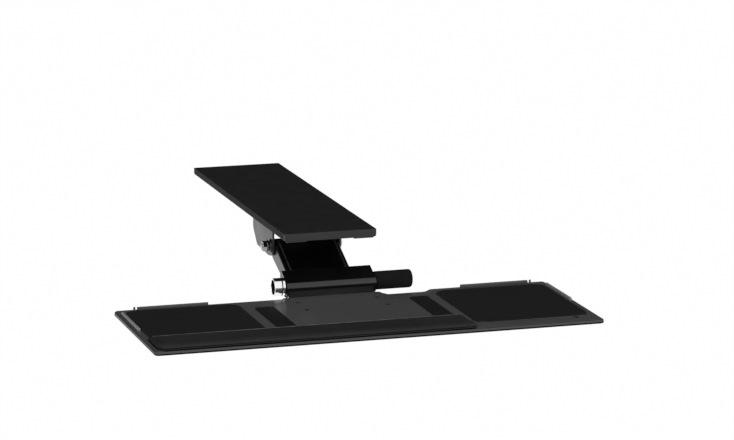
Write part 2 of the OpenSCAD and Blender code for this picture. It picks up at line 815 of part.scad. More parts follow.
module tilt_nut() {
    color("#a8844a") at_point(tilt) {
        difference() {
            rod_x(-nut_len / 2, nut_len / 2, tube_bore - 2 * fit);
            rod_x(-nut_len, nut_len, screw_d + 2 * fit);
        }
        difference() {
            rotate([-90, 0, 0]) cylinder(d = follower_d, h = follower_tip);
            rod_x(-nut_len, nut_len, tube_bore - 4 * fit);
        }
    }
}

module tilt_tube() {
    color("silver") at_point(tilt) difference() {
        rod_x(-tube_half, tube_half, tube_d);
        rod_x(-tube_half - cut, tube_half + cut, tube_bore);
        for (i = [0 : tilt_steps]) let (a = tilt_start + tilt_span * i / tilt_steps)
            translate([nut_rate * a, 0, 0]) rotate([-a - 90, 0, 0])
                cylinder(d = follower_d + 4 * face_gap, h = tube_d);
    }
}

module tube_bushes() {
    color("#e8e6df") at_point(tilt) both_sides() difference() {
        rod_x(tube_half - 10, tube_half, tube_bore);
        rod_x(0, tube_half + cut, screw_d + 2 * fit);
    }
}

module dial_hub() {
    core = dial_d - 2 * grip_wall;
    color("#2a2a2c") at_point(tilt) difference() {
        rod_x(dial_x, dial_x + dial_len - 4, core);
        rod_x(dial_x - cut, dial_x + dial_len - 8, screw_d);
    }
}

module dial_grip() {
    color("#141415") at_point(tilt) rotate([0, 90, 0]) translate([0, 0, dial_x]) rotate_extrude()
        polygon(rounded([[dial_d / 2 - grip_wall, 0, 0], [dial_d / 2, 0, 1], [dial_d / 2, dial_len - 4, 0.3],
            [dial_d / 2 - grip_wall, dial_len - 4, 0]]));
}

module dial_cap() {
    color("#19191a") at_point(tilt) rotate([0, 90, 0]) translate([0, 0, dial_x + dial_len - 4])
        rotate_extrude() polygon(rounded([[0, 0, 0], [dial_d / 2, 0, 0], [dial_d / 2, 4, 2.6], [0, 4, 0]]));
}

// Tray
module plate_bracket() {
    t = plate_bracket_t;
    flange_top = -3.3;
    low = -board_drop - board_t - t;
    y0 = board_y + board_back - screw_back - screw_pitch - 15 - tilt[0];
    y1 = board_y + flange_y - tilt[0];
    color("#29292b") at_point(tilt) difference() {
        union() {
            translate([0, 0, low]) linear_extrude(t)
                round_rect(-screw_x - 6.5, screw_x + 6.5, y0, y1 + t, 3);
            along_x(-hood_x + hood_wall + 1.1, hood_x - hood_wall - 1.1)
                translate([y1, low]) square([t, flange_top - low]);
            both_sides() along_x(ear_tray_x, ear_tray_x + t) {
                circle(r = tube_d / 2 + tray_ear_wall);
                polygon(rounded([[y1, flange_top, 0], [y1, low, 0], [-2, low, 4], [7.5, -5.5, 0], [-3, 8.9, 0]]));
            }
        }
        rod_x(-hood_w, hood_w, tube_d);
        for (x = [-screw_x, screw_x], i = [0, 1])
            translate([x, -board_set - screw_back - i * screw_pitch, low - cut])
                cylinder(d = screw_shank_d, h = t + 2 * cut);
    }
}

module board_outline() {
    half = board_w / 2;
    far = board_back + tongue_d;
    floor_y = board_back - notch_d;
    notch_out = notch_in + notch_w;
    polygon(rounded([[-half, -board_back, board_front_r], [half, -board_back, board_front_r], [half, board_back, board_r],
        [notch_out + notch_d, board_back, 5], [notch_out, floor_y, 5], [notch_in, floor_y, 4],
        [tongue_w / 2 + 1, board_back - 1, 3], [tongue_w / 2, far, 4], [-tongue_w / 2, far, 4],
        [-tongue_w / 2 - 4, board_back, 2], [-half, board_back, board_r]]));
}

module pad_outline(side, grow) {
    y1 = board_back - (side > 0 ? pad_back_right : pad_back_left);
    y0 = side > 0 ? y1 - pad_d : soft_front;
    x0 = side > 0 ? pad_in : -pad_in - pad_w;
    r0 = (side > 0 ? pad_r : meet_r) + grow;
    r1 = pad_r + grow;
    polygon(rounded([[x0 - grow, y0 - grow, r0], [x0 + pad_w + grow, y0 - grow, r0],
        [x0 + pad_w + grow, y1 + grow, r1], [x0 - grow, y1 + grow, r1]]));
}

module screw_place() {
    for (x = [-screw_x, screw_x], i = [0, 1])
        translate([x, board_back - screw_back - i * screw_pitch, 0]) children();
}

module screw_body(clear) {
    cone = (screw_head_d - screw_shank_d) / 2;
    translate([0, 0, -0.4]) cylinder(d = screw_head_d, h = 0.4 + clear);
    translate([0, 0, -0.4 - cone]) cylinder(d1 = screw_shank_d, d2 = screw_head_d, h = cone);
    translate([0, 0, -board_t - plate_bracket_t - 1])
        cylinder(d = screw_shank_d, h = board_t + plate_bracket_t + 1);
}

// Wedge along Y that bevels the upper edge at X = 0
module edge_wedge(length) {
    out = edge_bevel + cut;
    rotate([90, 0, 0]) translate([0, 0, -length / 2]) linear_extrude(length)
        polygon([[cut, cut], [-out, cut], [cut, -out]]);
}

module board() {
    color("#3c3c3e") at_board() difference() {
        translate([0, 0, -board_t]) linear_extrude(board_t) board_outline();
        for (side = [-1, 1])
            translate([0, 0, -pad_sink]) linear_extrude(pad_sink + cut) pad_outline(side, pad_gap);
        screw_place() screw_body(cut);
        both_sides() translate([board_w / 2, 0, 0]) edge_wedge(2 * board_d);
        translate([0, -board_back, 0]) rotate(-90) edge_wedge(2 * board_w);
    }
}

module board_screws() {
    color("#2a2a2c") at_board() screw_place() screw_body(0);
}

module mouse_pad_left() {
    color("#1e1e20") at_board() translate([0, 0, -pad_sink]) linear_extrude(pad_t) pad_outline(-1, 0);
}

module mouse_pad_right() {
    color("#1e1e20") at_board() translate([0, 0, -pad_sink]) linear_extrude(pad_t) pad_outline(1, 0);
}

module grip_strip(side) {
    x0 = side > 0 ? strip_in : -strip_in - strip_w;
    x1 = x0 + strip_w;
    y1 = board_back - strip_back;
    at_board() linear_extrude(strip_t)
        polygon(rounded([[x0, soft_front, meet_r], [x1, soft_front, meet_r], [x1, y1, strip_r],
            [x0, y1, strip_r]]));
}

module grip_strip_left() {
    color("#232325") grip_strip(-1);
}

module grip_strip_right() {
    color("#232325") grip_strip(1);
}

module rear_guard(side) {
    y1 = board_back - guard_edge;
    x0 = side > 0 ? rear_guard_x1 - rear_guard_len : rear_guard_x0;
    at_board() linear_extrude(guard_h)
        round_rect(x0, x0 + rear_guard_len, y1 - guard_w, y1, guard_w / 2 - 0.1);
}

module side_guard(side) {
    y1 = board_back - side_guard_back;
    x0 = side > 0 ? board_w / 2 - side_guard_edge - guard_w : side_guard_edge - board_w / 2;
    at_board() linear_extrude(guard_h)
        round_rect(x0, x0 + guard_w, y1 - side_guard_len, y1, guard_w / 2 - 0.1);
}

module rear_guard_left() {
    color("#2a2a2c") rear_guard(-1);
}

module rear_guard_right() {
    color("#2a2a2c") rear_guard(1);
}

module side_guard_left() {
    color("#2a2a2c") side_guard(-1);
}

module side_guard_right() {
    color("#2a2a2c") side_guard(1);
}

module guard_pegs() {
    color("#1f1f21") at_board() for (x = [rear_guard_x0 - peg_set, rear_guard_x1 + peg_set])
        translate([x, board_back - guard_edge - guard_w / 2, 0]) cylinder(d = peg_d, h = peg_h);
}

module palm_rest_base() {
    color("#19191a") at_board() linear_extrude(rest_base_t)
        round_rect(rest_x, rest_x + rest_len, rest_y, rest_y + rest_d, rest_r);
}

// Palm rest cushion: rings along X, each a crowned section on a narrower base
rest_arc = 20;
rest_end_steps = 7;
rest_lift = 1.2;
function edge_curve(e, r) = e >= r ? 1 : sqrt(max(0, 1 - pow((r - e) / r, 2)));
function rest_high(v) =
    let (s = v * rest_d, slope = rest_h - (rest_h - rest_back_h) * pow(v, 1.3))
    slope * min(edge_curve(s, rest_h * 1.4), edge_curve(rest_d - s, rest_back_h * 2));
function rest_ring(e) =
    let (shape = edge_curve(e, rest_r), pull = rest_r * (1 - shape), low = rest_base_t)
    let (y0 = rest_y + pull, span = rest_d - 2 * pull, rise = 0.25 + 0.75 * shape)
    concat([[y0 + rest_draw, low]],
        [for (k = [0 : rest_arc]) let (v = (1 - cos(180 * k / rest_arc)) / 2)
            [y0 + span * v, low + rest_lift + rise * max(0, rest_high(v) - rest_lift)]],
        [[y0 + span - rest_draw, low]]);
rest_half = [for (k = [0 : rest_end_steps]) rest_r * (1 - cos(90 * k / rest_end_steps))];
rest_rings = concat([for (e = rest_half) [rest_x + e + rest_draw * (1 - edge_curve(e, rest_r)), e]],
    [for (k = [1 : 5]) [rest_x + rest_len * k / 6, rest_len / 6]],
    [for (k = [rest_end_steps : -1 : 0]) let (e = rest_half[k])
        [rest_x + rest_len - e - rest_draw * (1 - edge_curve(e, rest_r)), e]]);
rest_n = rest_arc + 3;
rest_skin = [for (q = rest_rings) each [for (p = rest_ring(q[1] + 0.4)) [q[0], p[0], p[1]]]];
rest_last = len(rest_rings) - 1;
rest_sides = [for (i = [0 : rest_last - 1], k = [0 : rest_n - 1])
    let (a = rest_n * i + k, b = rest_n * i + (k + 1) % rest_n)
        each [[a, b, a + rest_n], [b, b + rest_n, a + rest_n]]];
rest_tip = rest_n * rest_last;
rest_caps = [for (k = [1 : rest_n - 2])
    each [[0, k + 1, k], [rest_tip, rest_tip + k, rest_tip + k + 1]]];

module palm_rest() {
    color("#262628") at_board() polyhedron(rest_skin, concat(rest_sides, rest_caps));
}

track();
front_cap();
rear_cap();
cap_rivets();
carriage_plate();
glides();
swivel_bolt();
swivel_nut();
turntable_disc();
swivel_bracket();
pivot_bolt();
thrust_washers();
disc_springs();
lock_nut();
spring_anchor();
rear_link_pin();
lift_springs();
arm_channel();
arm_bushes();
level_link();
head_frame();
front_pin();
pin_clips();
front_link_pin();
hood();
hood_screws();
barrel();
barrel_plug();
dial_collar();
plate_bracket();
tilt_tube();
tube_bushes();
board();
board_screws();
mouse_pad_left();
mouse_pad_right();
grip_strip_left();
grip_strip_right();
palm_rest_base();
palm_rest();
rear_guard_left();
rear_guard_right();
side_guard_left();
side_guard_right();
guard_pegs();
tilt_screw();
dial_hub();
dial_grip();
dial_cap();
tilt_nut();
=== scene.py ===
import math

import bmesh
import bpy
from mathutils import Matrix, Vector


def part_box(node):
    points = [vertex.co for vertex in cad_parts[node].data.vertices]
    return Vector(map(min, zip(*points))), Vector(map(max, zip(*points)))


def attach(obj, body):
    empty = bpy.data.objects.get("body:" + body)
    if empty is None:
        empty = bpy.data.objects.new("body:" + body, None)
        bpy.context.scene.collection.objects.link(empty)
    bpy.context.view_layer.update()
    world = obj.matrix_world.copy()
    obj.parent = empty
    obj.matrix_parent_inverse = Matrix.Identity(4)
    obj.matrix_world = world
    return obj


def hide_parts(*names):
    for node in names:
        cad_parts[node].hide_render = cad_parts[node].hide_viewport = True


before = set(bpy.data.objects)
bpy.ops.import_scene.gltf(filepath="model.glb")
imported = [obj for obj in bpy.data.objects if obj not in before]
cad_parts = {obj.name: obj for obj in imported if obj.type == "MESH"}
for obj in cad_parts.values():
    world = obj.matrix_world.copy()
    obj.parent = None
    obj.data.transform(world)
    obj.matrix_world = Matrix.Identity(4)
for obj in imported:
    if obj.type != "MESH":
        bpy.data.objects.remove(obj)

scene = bpy.context.scene
scene.view_settings.view_transform = "Standard"
mm = 0.001
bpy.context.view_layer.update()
print("frame loaded with", len(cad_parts), "parts")


# camera and studio

cameraSetup = {"place": (-1.460, -5.2246, 1.1020), "turn": 17.07, "down": 11.87, "lens": 168.8,
               "sensor": 36.0}
studio = {
    "floorZ": -0.75, "floorSize": 60.0, "floorColour": (0.9, 0.9, 0.9), "floorGlow": 0.99,
    # bright room in front and along the horizon, dark ceiling above and behind
    "skyBright": 1.0, "skyDark": 0.02, "skyRise": (0.0, 0.08), "skyBack": (-0.12, 0.12),
    # place, size, watts and aim of each soft box
    "lamps": [
        ((-2.2, -3.0, 2.4), 2.4, 60.0, (0.0, -0.35, -0.1)),
        ((2.4, -2.6, 1.6), 2.0, 30.0, (0.0, -0.35, -0.1)),
    ],
}


def placeCamera(setup):
    data = bpy.data.cameras.new("viewCamera")
    data.sensor_fit = "HORIZONTAL"
    data.sensor_width = setup["sensor"]
    data.lens = setup["lens"]
    data.clip_end = 200.0
    camera = bpy.data.objects.new("viewCamera", data)
    camera.location = setup["place"]
    camera.rotation_euler = (math.radians(90 - setup["down"]), 0.0, math.radians(-setup["turn"]))
    scene.collection.objects.link(camera)
    scene.camera = camera


def addNode(tree, kind, **values):
    node = tree.nodes.new(kind)
    for name, value in values.items():
        node.inputs[name.replace("_", " ")].default_value = value
    return node


def seenRays(tree):
    # one for rays that show the background: straight, mirrored and through glass
    path = tree.nodes.new("ShaderNodeLightPath")
    first = tree.nodes.new("ShaderNodeMath")
    first.operation = "MAXIMUM"
    second = tree.nodes.new("ShaderNodeMath")
    second.operation = "MAXIMUM"
    tree.links.new(path.outputs["Is Camera Ray"], first.inputs[0])
    tree.links.new(path.outputs["Is Glossy Ray"], first.inputs[1])
    tree.links.new(first.outputs[0], second.inputs[0])
    tree.links.new(path.outputs["Is Transmission Ray"], second.inputs[1])
    return second


def buildStudio(setup):
    half = setup["floorSize"] / 2
    mesh = bpy.data.meshes.new("studioFloor")
    corners = [(-half, -half), (half, -half), (half, half), (-half, half)]
    mesh.from_pydata([(x, y, setup["floorZ"]) for x, y in corners], [], [(0, 1, 2, 3)])
    floor = bpy.data.objects.new("studioFloor", mesh)
    scene.collection.objects.link(floor)
    paper = bpy.data.materials.new("palePaper")
    paper.use_nodes = True
    tree = paper.node_tree
    tree.nodes.clear()
    matt = addNode(tree, "ShaderNodeBsdfDiffuse", Color=(*setup["floorColour"], 1.0))
    glow = addNode(tree, "ShaderNodeEmission", Color=(1.0, 1.0, 1.0, 1.0), Strength=1.0)
    share = tree.nodes.new("ShaderNodeMath")
    share.operation = "MULTIPLY"
    share.inputs[1].default_value = setup["floorGlow"]
    mix = tree.nodes.new("ShaderNodeMixShader")
    out = tree.nodes.new("ShaderNodeOutputMaterial")
    tree.links.new(seenRays(tree).outputs[0], share.inputs[0])
    tree.links.new(share.outputs[0], mix.inputs[0])
    tree.links.new(matt.outputs[0], mix.inputs[1])
    tree.links.new(glow.outputs[0], mix.inputs[2])
    tree.links.new(mix.outputs[0], out.inputs["Surface"])
    mesh.materials.append(paper)

    world = bpy.data.worlds.new("studioRoom")
    scene.world = world
    world.use_nodes = True
    tree = world.node_tree
    coords = tree.nodes.new("ShaderNodeTexCoord")
    split = tree.nodes.new("ShaderNodeSeparateXYZ")
    both = tree.nodes.new("ShaderNodeMath")
    both.operation = "MULTIPLY"
    level = addNode(tree, "ShaderNodeMapRange", To_Min=setup["skyBright"], To_Max=setup["skyDark"])
    tree.links.new(coords.outputs["Generated"], split.inputs[0])
    for number, (axis, edge) in enumerate((("Z", setup["skyRise"]), ("Y", setup["skyBack"]))):
        fade = addNode(tree, "ShaderNodeMapRange", From_Min=edge[0], From_Max=edge[1])
        fade.interpolation_type = "SMOOTHSTEP"
        tree.links.new(split.outputs[axis], fade.inputs["Value"])
        tree.links.new(fade.outputs["Result"], both.inputs[number])
    tree.links.new(both.outputs[0], level.inputs["Value"])
    tree.nodes["Background"].inputs["Color"].default_value = (1.0, 1.0, 1.0, 1.0)
    tree.links.new(level.outputs["Result"], tree.nodes["Background"].inputs["Strength"])

    for number, (place, size, watts, aim) in enumerate(setup["lamps"]):
        lamp = bpy.data.lights.new("softBox%d" % number, "AREA")
        lamp.shape = "SQUARE"
        lamp.size = size
        lamp.energy = watts
        item = bpy.data.objects.new("softBox%d" % number, lamp)
        item.location = place
        item.rotation_euler = (Vector(aim) - Vector(place)).to_track_quat("-Z", "Y").to_euler()
        scene.collection.objects.link(item)


placeCamera(cameraSetup)
buildStudio(studio)
print("camera and studio set")


# finishes

finishLooks = {
    # two colours mixed in clouds, roughness range; sizes of grain, bump and clouds in mm
    "powderCoat": dict(colour=(0.007, 0.007, 0.0075), other=(0.011, 0.011, 0.012), rough=(0.32, 0.42),
                       grain=0.7, height=0.02, cloud=60, specular=0.42),
    "trackPaint": dict(colour=(0.010, 0.010, 0.0105), other=(0.014, 0.014, 0.0148), rough=(0.62, 0.7),
                       grain=0.7, height=0.04, cloud=25, specular=0.12),
    "bracketPaint": dict(colour=(0.010, 0.010, 0.011), other=(0.015, 0.015, 0.016), rough=(0.26, 0.36),
                         grain=0.7, height=0.015, cloud=50),
    # arm paint: its own black, made darker still as painted shade standing in for the shadow of the desk
    # above
    "armPaintAndShade": dict(colour=(0.0012, 0.0012, 0.0013), other=(0.0022, 0.0022, 0.0024), rough=(0.2, 0.27),
                     grain=0.8, height=0.006, cloud=70, specular=0.4),
    # the beads' lighter paint is a painted highlight
    "beadHighlightPaint": dict(colour=(0.020, 0.020, 0.021), other=(0.034, 0.034, 0.035), rough=(0.3, 0.4),
                      grain=0.8, height=0.01, cloud=12),
    "blackOxide": dict(colour=(0.03, 0.03, 0.033), other=(0.05, 0.05, 0.054), rough=(0.3, 0.45),
                       metal=1.0, grain=0.5, height=0.01, cloud=8),
    "nutZinc": dict(colour=(0.34, 0.34, 0.35), other=(0.26, 0.26, 0.27), rough=(0.12, 0.2),
                    metal=1.0, grain=0.6, height=0.006, cloud=6),
    "zincPlate": dict(colour=(0.56, 0.57, 0.58), other=(0.46, 0.48, 0.5), rough=(0.22, 0.34),
                      metal=1.0, grain=0.6, height=0.008, cloud=6),
    "washerZinc": dict(colour=(0.11, 0.11, 0.114), other=(0.05, 0.05, 0.053), rough=(0.18, 0.28),
                       metal=1.0, grain=0.5, height=0.01, cloud=6),
    "springWire": dict(colour=(0.2, 0.2, 0.21), other=(0.12, 0.12, 0.13), rough=(0.28, 0.42),
                       metal=1.0, grain=0.5, height=0.01, cloud=5),
    "chromePlate": dict(colour=(0.9, 0.905, 0.91), other=(0.86, 0.865, 0.875), rough=(0.035, 0.06),
                        metal=1.0, grain=3.0, height=0.001, cloud=20),
    "acetalWhite": dict(colour=(0.74, 0.73, 0.69), other=(0.66, 0.65, 0.61), rough=(0.36, 0.48),
                        grain=0.9, height=0.01, cloud=25),
    "bearingBronze": dict(colour=(0.13, 0.105, 0.07), other=(0.09, 0.072, 0.05), rough=(0.36, 0.5),
                          metal=1.0, grain=0.4, height=0.012, cloud=5),
    "screwBlack": dict(colour=(0.010, 0.010, 0.0105), other=(0.015, 0.015, 0.0155), rough=(0.4, 0.55),
                       grain=0.4, height=0.01, cloud=4, specular=0.15),
    "mouldedBlack": dict(colour=(0.011, 0.011, 0.012), other=(0.016, 0.016, 0.017), rough=(0.34, 0.44),
                         grain=0.6, height=0.025, cloud=45),
    "plugBlack": dict(colour=(0.0015, 0.0015, 0.0016), other=(0.003, 0.003, 0.0032), rough=(0.6, 0.75),
                      grain=0.6, height=0.02, cloud=12, specular=0.1),
    "guardPlastic": dict(colour=(0.066, 0.066, 0.067), other=(0.076, 0.076, 0.0775), rough=(0.2, 0.27),
                         grain=0.5, height=0.012, cloud=30),
    "sideGuardPlastic": dict(colour=(0.185, 0.185, 0.187), other=(0.21, 0.21, 0.212), rough=(0.3, 0.38),
                             grain=0.5, height=0.012, cloud=30, specular=0.35),
    # hood: its own black, made darker still as painted shade standing in for the shadow of the desk above
    "hoodBlackAndShade": dict(colour=(0.0014, 0.0014, 0.0015), other=(0.0024, 0.0024, 0.0026), rough=(0.2, 0.27),
                      grain=0.6, height=0.008, cloud=45, specular=0.58),
    "skirtBlack": dict(colour=(0.008, 0.008, 0.0083), other=(0.011, 0.011, 0.0115), rough=(0.5, 0.6),
                       grain=0.6, height=0.02, cloud=12, specular=0.0),
    "dialRubber": dict(colour=(0.0085, 0.0085, 0.0088), other=(0.0105, 0.0105, 0.0108), rough=(0.3, 0.38),
                       grain=0.5, height=0.01, cloud=20, specular=0.0),
    "stripRubber": dict(colour=(0.006, 0.006, 0.0064), other=(0.009, 0.009, 0.0095), rough=(0.62, 0.74),
                        grain=0.9, height=0.06, cloud=30, specular=0.12),
    "matRubber": dict(colour=(0.012, 0.012, 0.0125), other=(0.017, 0.017, 0.018), rough=(0.26, 0.36),
                      grain=0.8, height=0.02, cloud=20),
    # board: mid grey that is partly the laminate's own dark colour and partly painted reflection of the
    # shaded underside of the desk above, with little real gloss
    "boardLaminateAndReflection": dict(colour=(0.0555, 0.0555, 0.0562), other=(0.0597, 0.0597, 0.0605), rough=(0.2, 0.26),
                          grain=0.5, height=0.004, cloud=120, specular=0.03),
    # the welt's light patches are a painted highlight along the cushion's back edge
    "weltHighlightCord": dict(colour=(0.03, 0.03, 0.031), other=(0.16, 0.16, 0.162), rough=(0.5, 0.6),
                     grain=0.5, height=0.02, cloud=16, specular=0.2),
    # near-black finish used only for painted shade: the board's lower edge, the recess floors, the cushion's
    # lower flank and the strip in front of the cushion
    "paintedShadeBlack": dict(colour=(0.0012, 0.0012, 0.0013), other=(0.0022, 0.0022, 0.0024), rough=(0.6, 0.72),
                      grain=0.6, height=0.02, cloud=40, specular=0.05),
}
finishes = {}


def startFinish(name):
    material = bpy.data.materials.new(name)
    material.use_nodes = True
    finishes[name] = material
    tree = material.node_tree
    coords = tree.nodes.new("ShaderNodeTexCoord")
    return tree, tree.nodes["Principled BSDF"], coords.outputs["Object"]


def noiseAt(tree, place, size, detail=3.0):
    noise = addNode(tree, "ShaderNodeTexNoise", Scale=1.0 / (size * mm), Detail=detail)
    tree.links.new(place, noise.inputs["Vector"])
    return noise.outputs["Fac"]


def blendColours(tree, factor, first, second):
    mix = tree.nodes.new("ShaderNodeMix")
    mix.data_type = "RGBA"
    mix.inputs[6].default_value = (*first, 1.0)
    mix.inputs[7].default_value = (*second, 1.0)
    tree.links.new(factor, mix.inputs[0])
    return mix.outputs[2]


def spread(tree, value, low, high):
    # stretches the middle of a noise over a range
    span = addNode(tree, "ShaderNodeMapRange", From_Min=0.3, From_Max=0.7, To_Min=low, To_Max=high)
    tree.links.new(value, span.inputs["Value"])
    return span.outputs["Result"]


def addBump(tree, shader, value, height):
    bump = addNode(tree, "ShaderNodeBump", Strength=1.0, Distance=height * mm)
    tree.links.new(value, bump.inputs["Height"])
    tree.links.new(bump.outputs["Normal"], shader.inputs["Normal"])


def grainFinish(name, look):
    tree, shader, place = startFinish(name)
    shader.inputs["Metallic"].default_value = look.get("metal", 0.0)
    shader.inputs["Specular IOR Level"].default_value = look.get("specular", 0.5)
    cloud = noiseAt(tree, place, look["cloud"], 4.0)
    grain = noiseAt(tree, place, look["grain"], 2.0)
    colour = blendColours(tree, spread(tree, cloud, 0.0, 1.0), look["colour"], look["other"])
    tree.links.new(colour, shader.inputs["Base Color"])
    tree.links.new(spread(tree, cloud, *look["rough"]), shader.inputs["Roughness"])
    addBump(tree, shader, grain, look["height"])


clothLook = {"colour": (0.0118, 0.0118, 0.0123), "other": (0.018, 0.018, 0.0186), "rough": (0.86, 0.96),
             "thread": 0.45, "height": 0.06, "specular": 0.04}
skinLook = {"colour": (0.013, 0.013, 0.0135), "other": (0.017, 0.017, 0.0178), "rough": (0.66, 0.76),
            "pebble": 1.3, "height": 0.03, "specular": 0.14}


def padCloth(name, look):
    # plain weave: two sets of threads, each over and under the other
    tree, shader, place = startFinish(name)
    shader.inputs["Specular IOR Level"].default_value = look["specular"]
    scale = 2 * math.pi / (20 * look["thread"] * mm)
    threads = []
    for direction in ("X", "Y"):
        wave = addNode(tree, "ShaderNodeTexWave", Scale=scale, Distortion=0.6, Detail=1.0, Detail_Scale=1.5)
        wave.bands_direction = direction
        tree.links.new(place, wave.inputs["Vector"])
        threads.append(wave.outputs["Fac"])
    weave = tree.nodes.new("ShaderNodeMath")
    weave.operation = "MULTIPLY"
    tree.links.new(threads[0], weave.inputs[0])
    tree.links.new(threads[1], weave.inputs[1])
    colour = blendColours(tree, weave.outputs[0], look["colour"], look["other"])
    tree.links.new(colour, shader.inputs["Base Color"])
    tree.links.new(spread(tree, noiseAt(tree, place, 15), *look["rough"]), shader.inputs["Roughness"])
    addBump(tree, shader, weave.outputs[0], look["height"])


def palmSkin(name, look):
    # soft skin with fine pebbles
    tree, shader, place = startFinish(name)
    shader.inputs["Specular IOR Level"].default_value = look["specular"]
    pebble = addNode(tree, "ShaderNodeTexVoronoi", Scale=1.0 / (look["pebble"] * mm))
    pebble.feature = "SMOOTH_F1"
    tree.links.new(place, pebble.inputs["Vector"])
    cloud = noiseAt(tree, place, 40, 4.0)
    colour = blendColours(tree, spread(tree, cloud, 0.0, 1.0), look["colour"], look["other"])
    tree.links.new(colour, shader.inputs["Base Color"])
    tree.links.new(spread(tree, cloud, *look["rough"]), shader.inputs["Roughness"])
    addBump(tree, shader, pebble.outputs["Distance"], look["height"])


for finishName, finishLook in finishLooks.items():
    grainFinish(finishName, finishLook)
padCloth("padCloth", clothLook)
palmSkin("palmSkin", skinLook)
print("finishes made:", len(finishes))


# shared shapes

def shadeByAngle(mesh, degrees=35):
    mesh.polygons.foreach_set("use_smooth", [True] * len(mesh.polygons))
    mesh.set_sharp_from_angle(angle=math.radians(degrees))


def addPiece(name, mesh, body, finish, nodes=(), second=None):
    mesh.materials.clear()
    mesh.materials.append(finishes[finish])
    if second:
        mesh.materials.append(finishes[second])
    item = bpy.data.objects.new(name, mesh)
    scene.collection.objects.link(item)
    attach(item, body)
    if nodes:
        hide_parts(*nodes)
    return item


def secondFinish(mesh, below, above=None):
    # gives the second finish to faces lower than one height, or between two
    for face in mesh.polygons:
        z = face.center.z
        if z < below and (above is None or z > above):
            face.material_index = 1


def finishMesh(bm, name, degrees=35):
    bmesh.ops.recalc_face_normals(bm, faces=bm.faces)
    mesh = bpy.data.meshes.new(name)
    bm.to_mesh(mesh)
    bm.free()
    shadeByAngle(mesh, degrees)
    return mesh


def bakeModifiers(item):
    # turns the evaluated shape into a plain mesh and clears the modifiers
    bpy.context.view_layer.update()
    graph = bpy.context.evaluated_depsgraph_get()
    mesh = bpy.data.meshes.new_from_object(item.evaluated_get(graph))
    bpy.data.objects.remove(item)
    return mesh


def roundedLoop(points, steps=8):
    # closed outline from (x, y, radius) corners
    loop = []
    count = len(points)
    for i in range(count):
        corner = Vector(points[i][:2])
        radius = points[i][2]
        if radius == 0:
            loop.append(corner)
            continue
        a = (Vector(points[i - 1][:2]) - corner).normalized()
        b = (Vector(points[(i + 1) % count][:2]) - corner).normalized()
        half = math.acos(max(-1.0, min(1.0, a.dot(b)))) / 2
        middle = corner + (a + b).normalized() * radius / math.sin(half)
        start = corner + a * radius / math.tan(half) - middle
        end = corner + b * radius / math.tan(half) - middle
        first = math.atan2(start.y, start.x)
        turn = math.atan2(start.x * end.y - start.y * end.x, start.dot(end))
        for k in range(steps + 1):
            angle = first + turn * k / steps
            loop.append(middle + radius * Vector((math.cos(angle), math.sin(angle))))
    return loop


def insetLoop(loop, distance):
    # moves a counter-clockwise outline inwards
    moved = []
    count = len(loop)
    for i in range(count):
        a = (loop[i] - loop[i - 1]).normalized()
        b = (loop[(i + 1) % count] - loop[i]).normalized()
        normalA = Vector((-a.y, a.x))
        middle = (normalA + Vector((-b.y, b.x))).normalized()
        moved.append(loop[i] + middle * distance / max(0.3, middle.dot(normalA)))
    return moved


def addRing(bm, loop, z):
    return [bm.verts.new((p.x, p.y, z)) for p in loop]


def bridgeRings(bm, low, high):
    count = len(low)
    for i in range(count):
        j = (i + 1) % count
        bm.faces.new((low[i], low[j], high[j], high[i]))


def rimSolid(bm, loop, profile):
    # solid from an outline and (inset, height) steps from the bottom up
    rings = [addRing(bm, insetLoop(loop, inset), z) for inset, z in profile]
    for low, high in zip(rings, rings[1:]):
        bridgeRings(bm, low, high)
    bm.faces.new(list(reversed(rings[0])))
    bm.faces.new(rings[-1])


def roundTop(radius, top, steps=5):
    # (inset, height) steps of a rounded upper edge
    arc = [math.pi / 2 * k / steps for k in range(steps + 1)]
    return [(radius * (1 - math.cos(t)), top - radius + radius * math.sin(t)) for t in arc]


def lathe(bm, profile, segments, closeEnd=True):
    # (radius, z) outline turned about Z
    rings = []
    turns = [2 * math.pi * k / segments for k in range(segments)]
    for radius, z in profile:
        rings.append([bm.verts.new((radius * math.cos(t), radius * math.sin(t), z)) for t in turns])
    for low, high in zip(rings, rings[1:]):
        bridgeRings(bm, low, high)
    bm.faces.new(list(reversed(rings[0])))
    if closeEnd:
        bm.faces.new(rings[-1])


def softenedCopy(node, body, finish, width, segments=2, degrees=38):
    # the part's own shape with its sharp edges broken
    bm = bmesh.new()
    bm.from_mesh(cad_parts[node].data)
    bmesh.ops.remove_doubles(bm, verts=bm.verts, dist=2e-6)
    bmesh.ops.dissolve_limit(bm, angle_limit=math.radians(0.4), verts=bm.verts, edges=bm.edges)
    mesh = bpy.data.meshes.new(node)
    bm.to_mesh(mesh)
    bm.free()
    rough = bpy.data.objects.new("rough", mesh)
    scene.collection.objects.link(rough)
    bevel = rough.modifiers.new("edges", "BEVEL")
    bevel.width = width * mm
    bevel.segments = segments
    bevel.limit_method = "ANGLE"
    bevel.angle_limit = math.radians(degrees)
    bevel.use_clamp_overlap = True
    bevel.miter_outer = "MITER_ARC"
    shadeByAngle(mesh, 180)
    flat = rough.modifiers.new("flats", "WEIGHTED_NORMAL")
    flat.mode = "FACE_AREA"
    flat.weight = 100
    mesh = bakeModifiers(rough)
    return addPiece("soft_" + node, mesh, body, finish, [node])


def newGroup(name, inputs):
    # empty geometry node group with named inputs
    group = bpy.data.node_groups.new(name, "GeometryNodeTree")
    group.interface.new_socket("Geometry", in_out="INPUT", socket_type="NodeSocketGeometry")
    for label, kind in inputs:
        group.interface.new_socket(label, in_out="INPUT", socket_type="NodeSocket" + kind)
    group.interface.new_socket("Geometry", in_out="OUTPUT", socket_type="NodeSocketGeometry")
    return group, group.nodes.new("NodeGroupInput"), group.nodes.new("NodeGroupOutput")


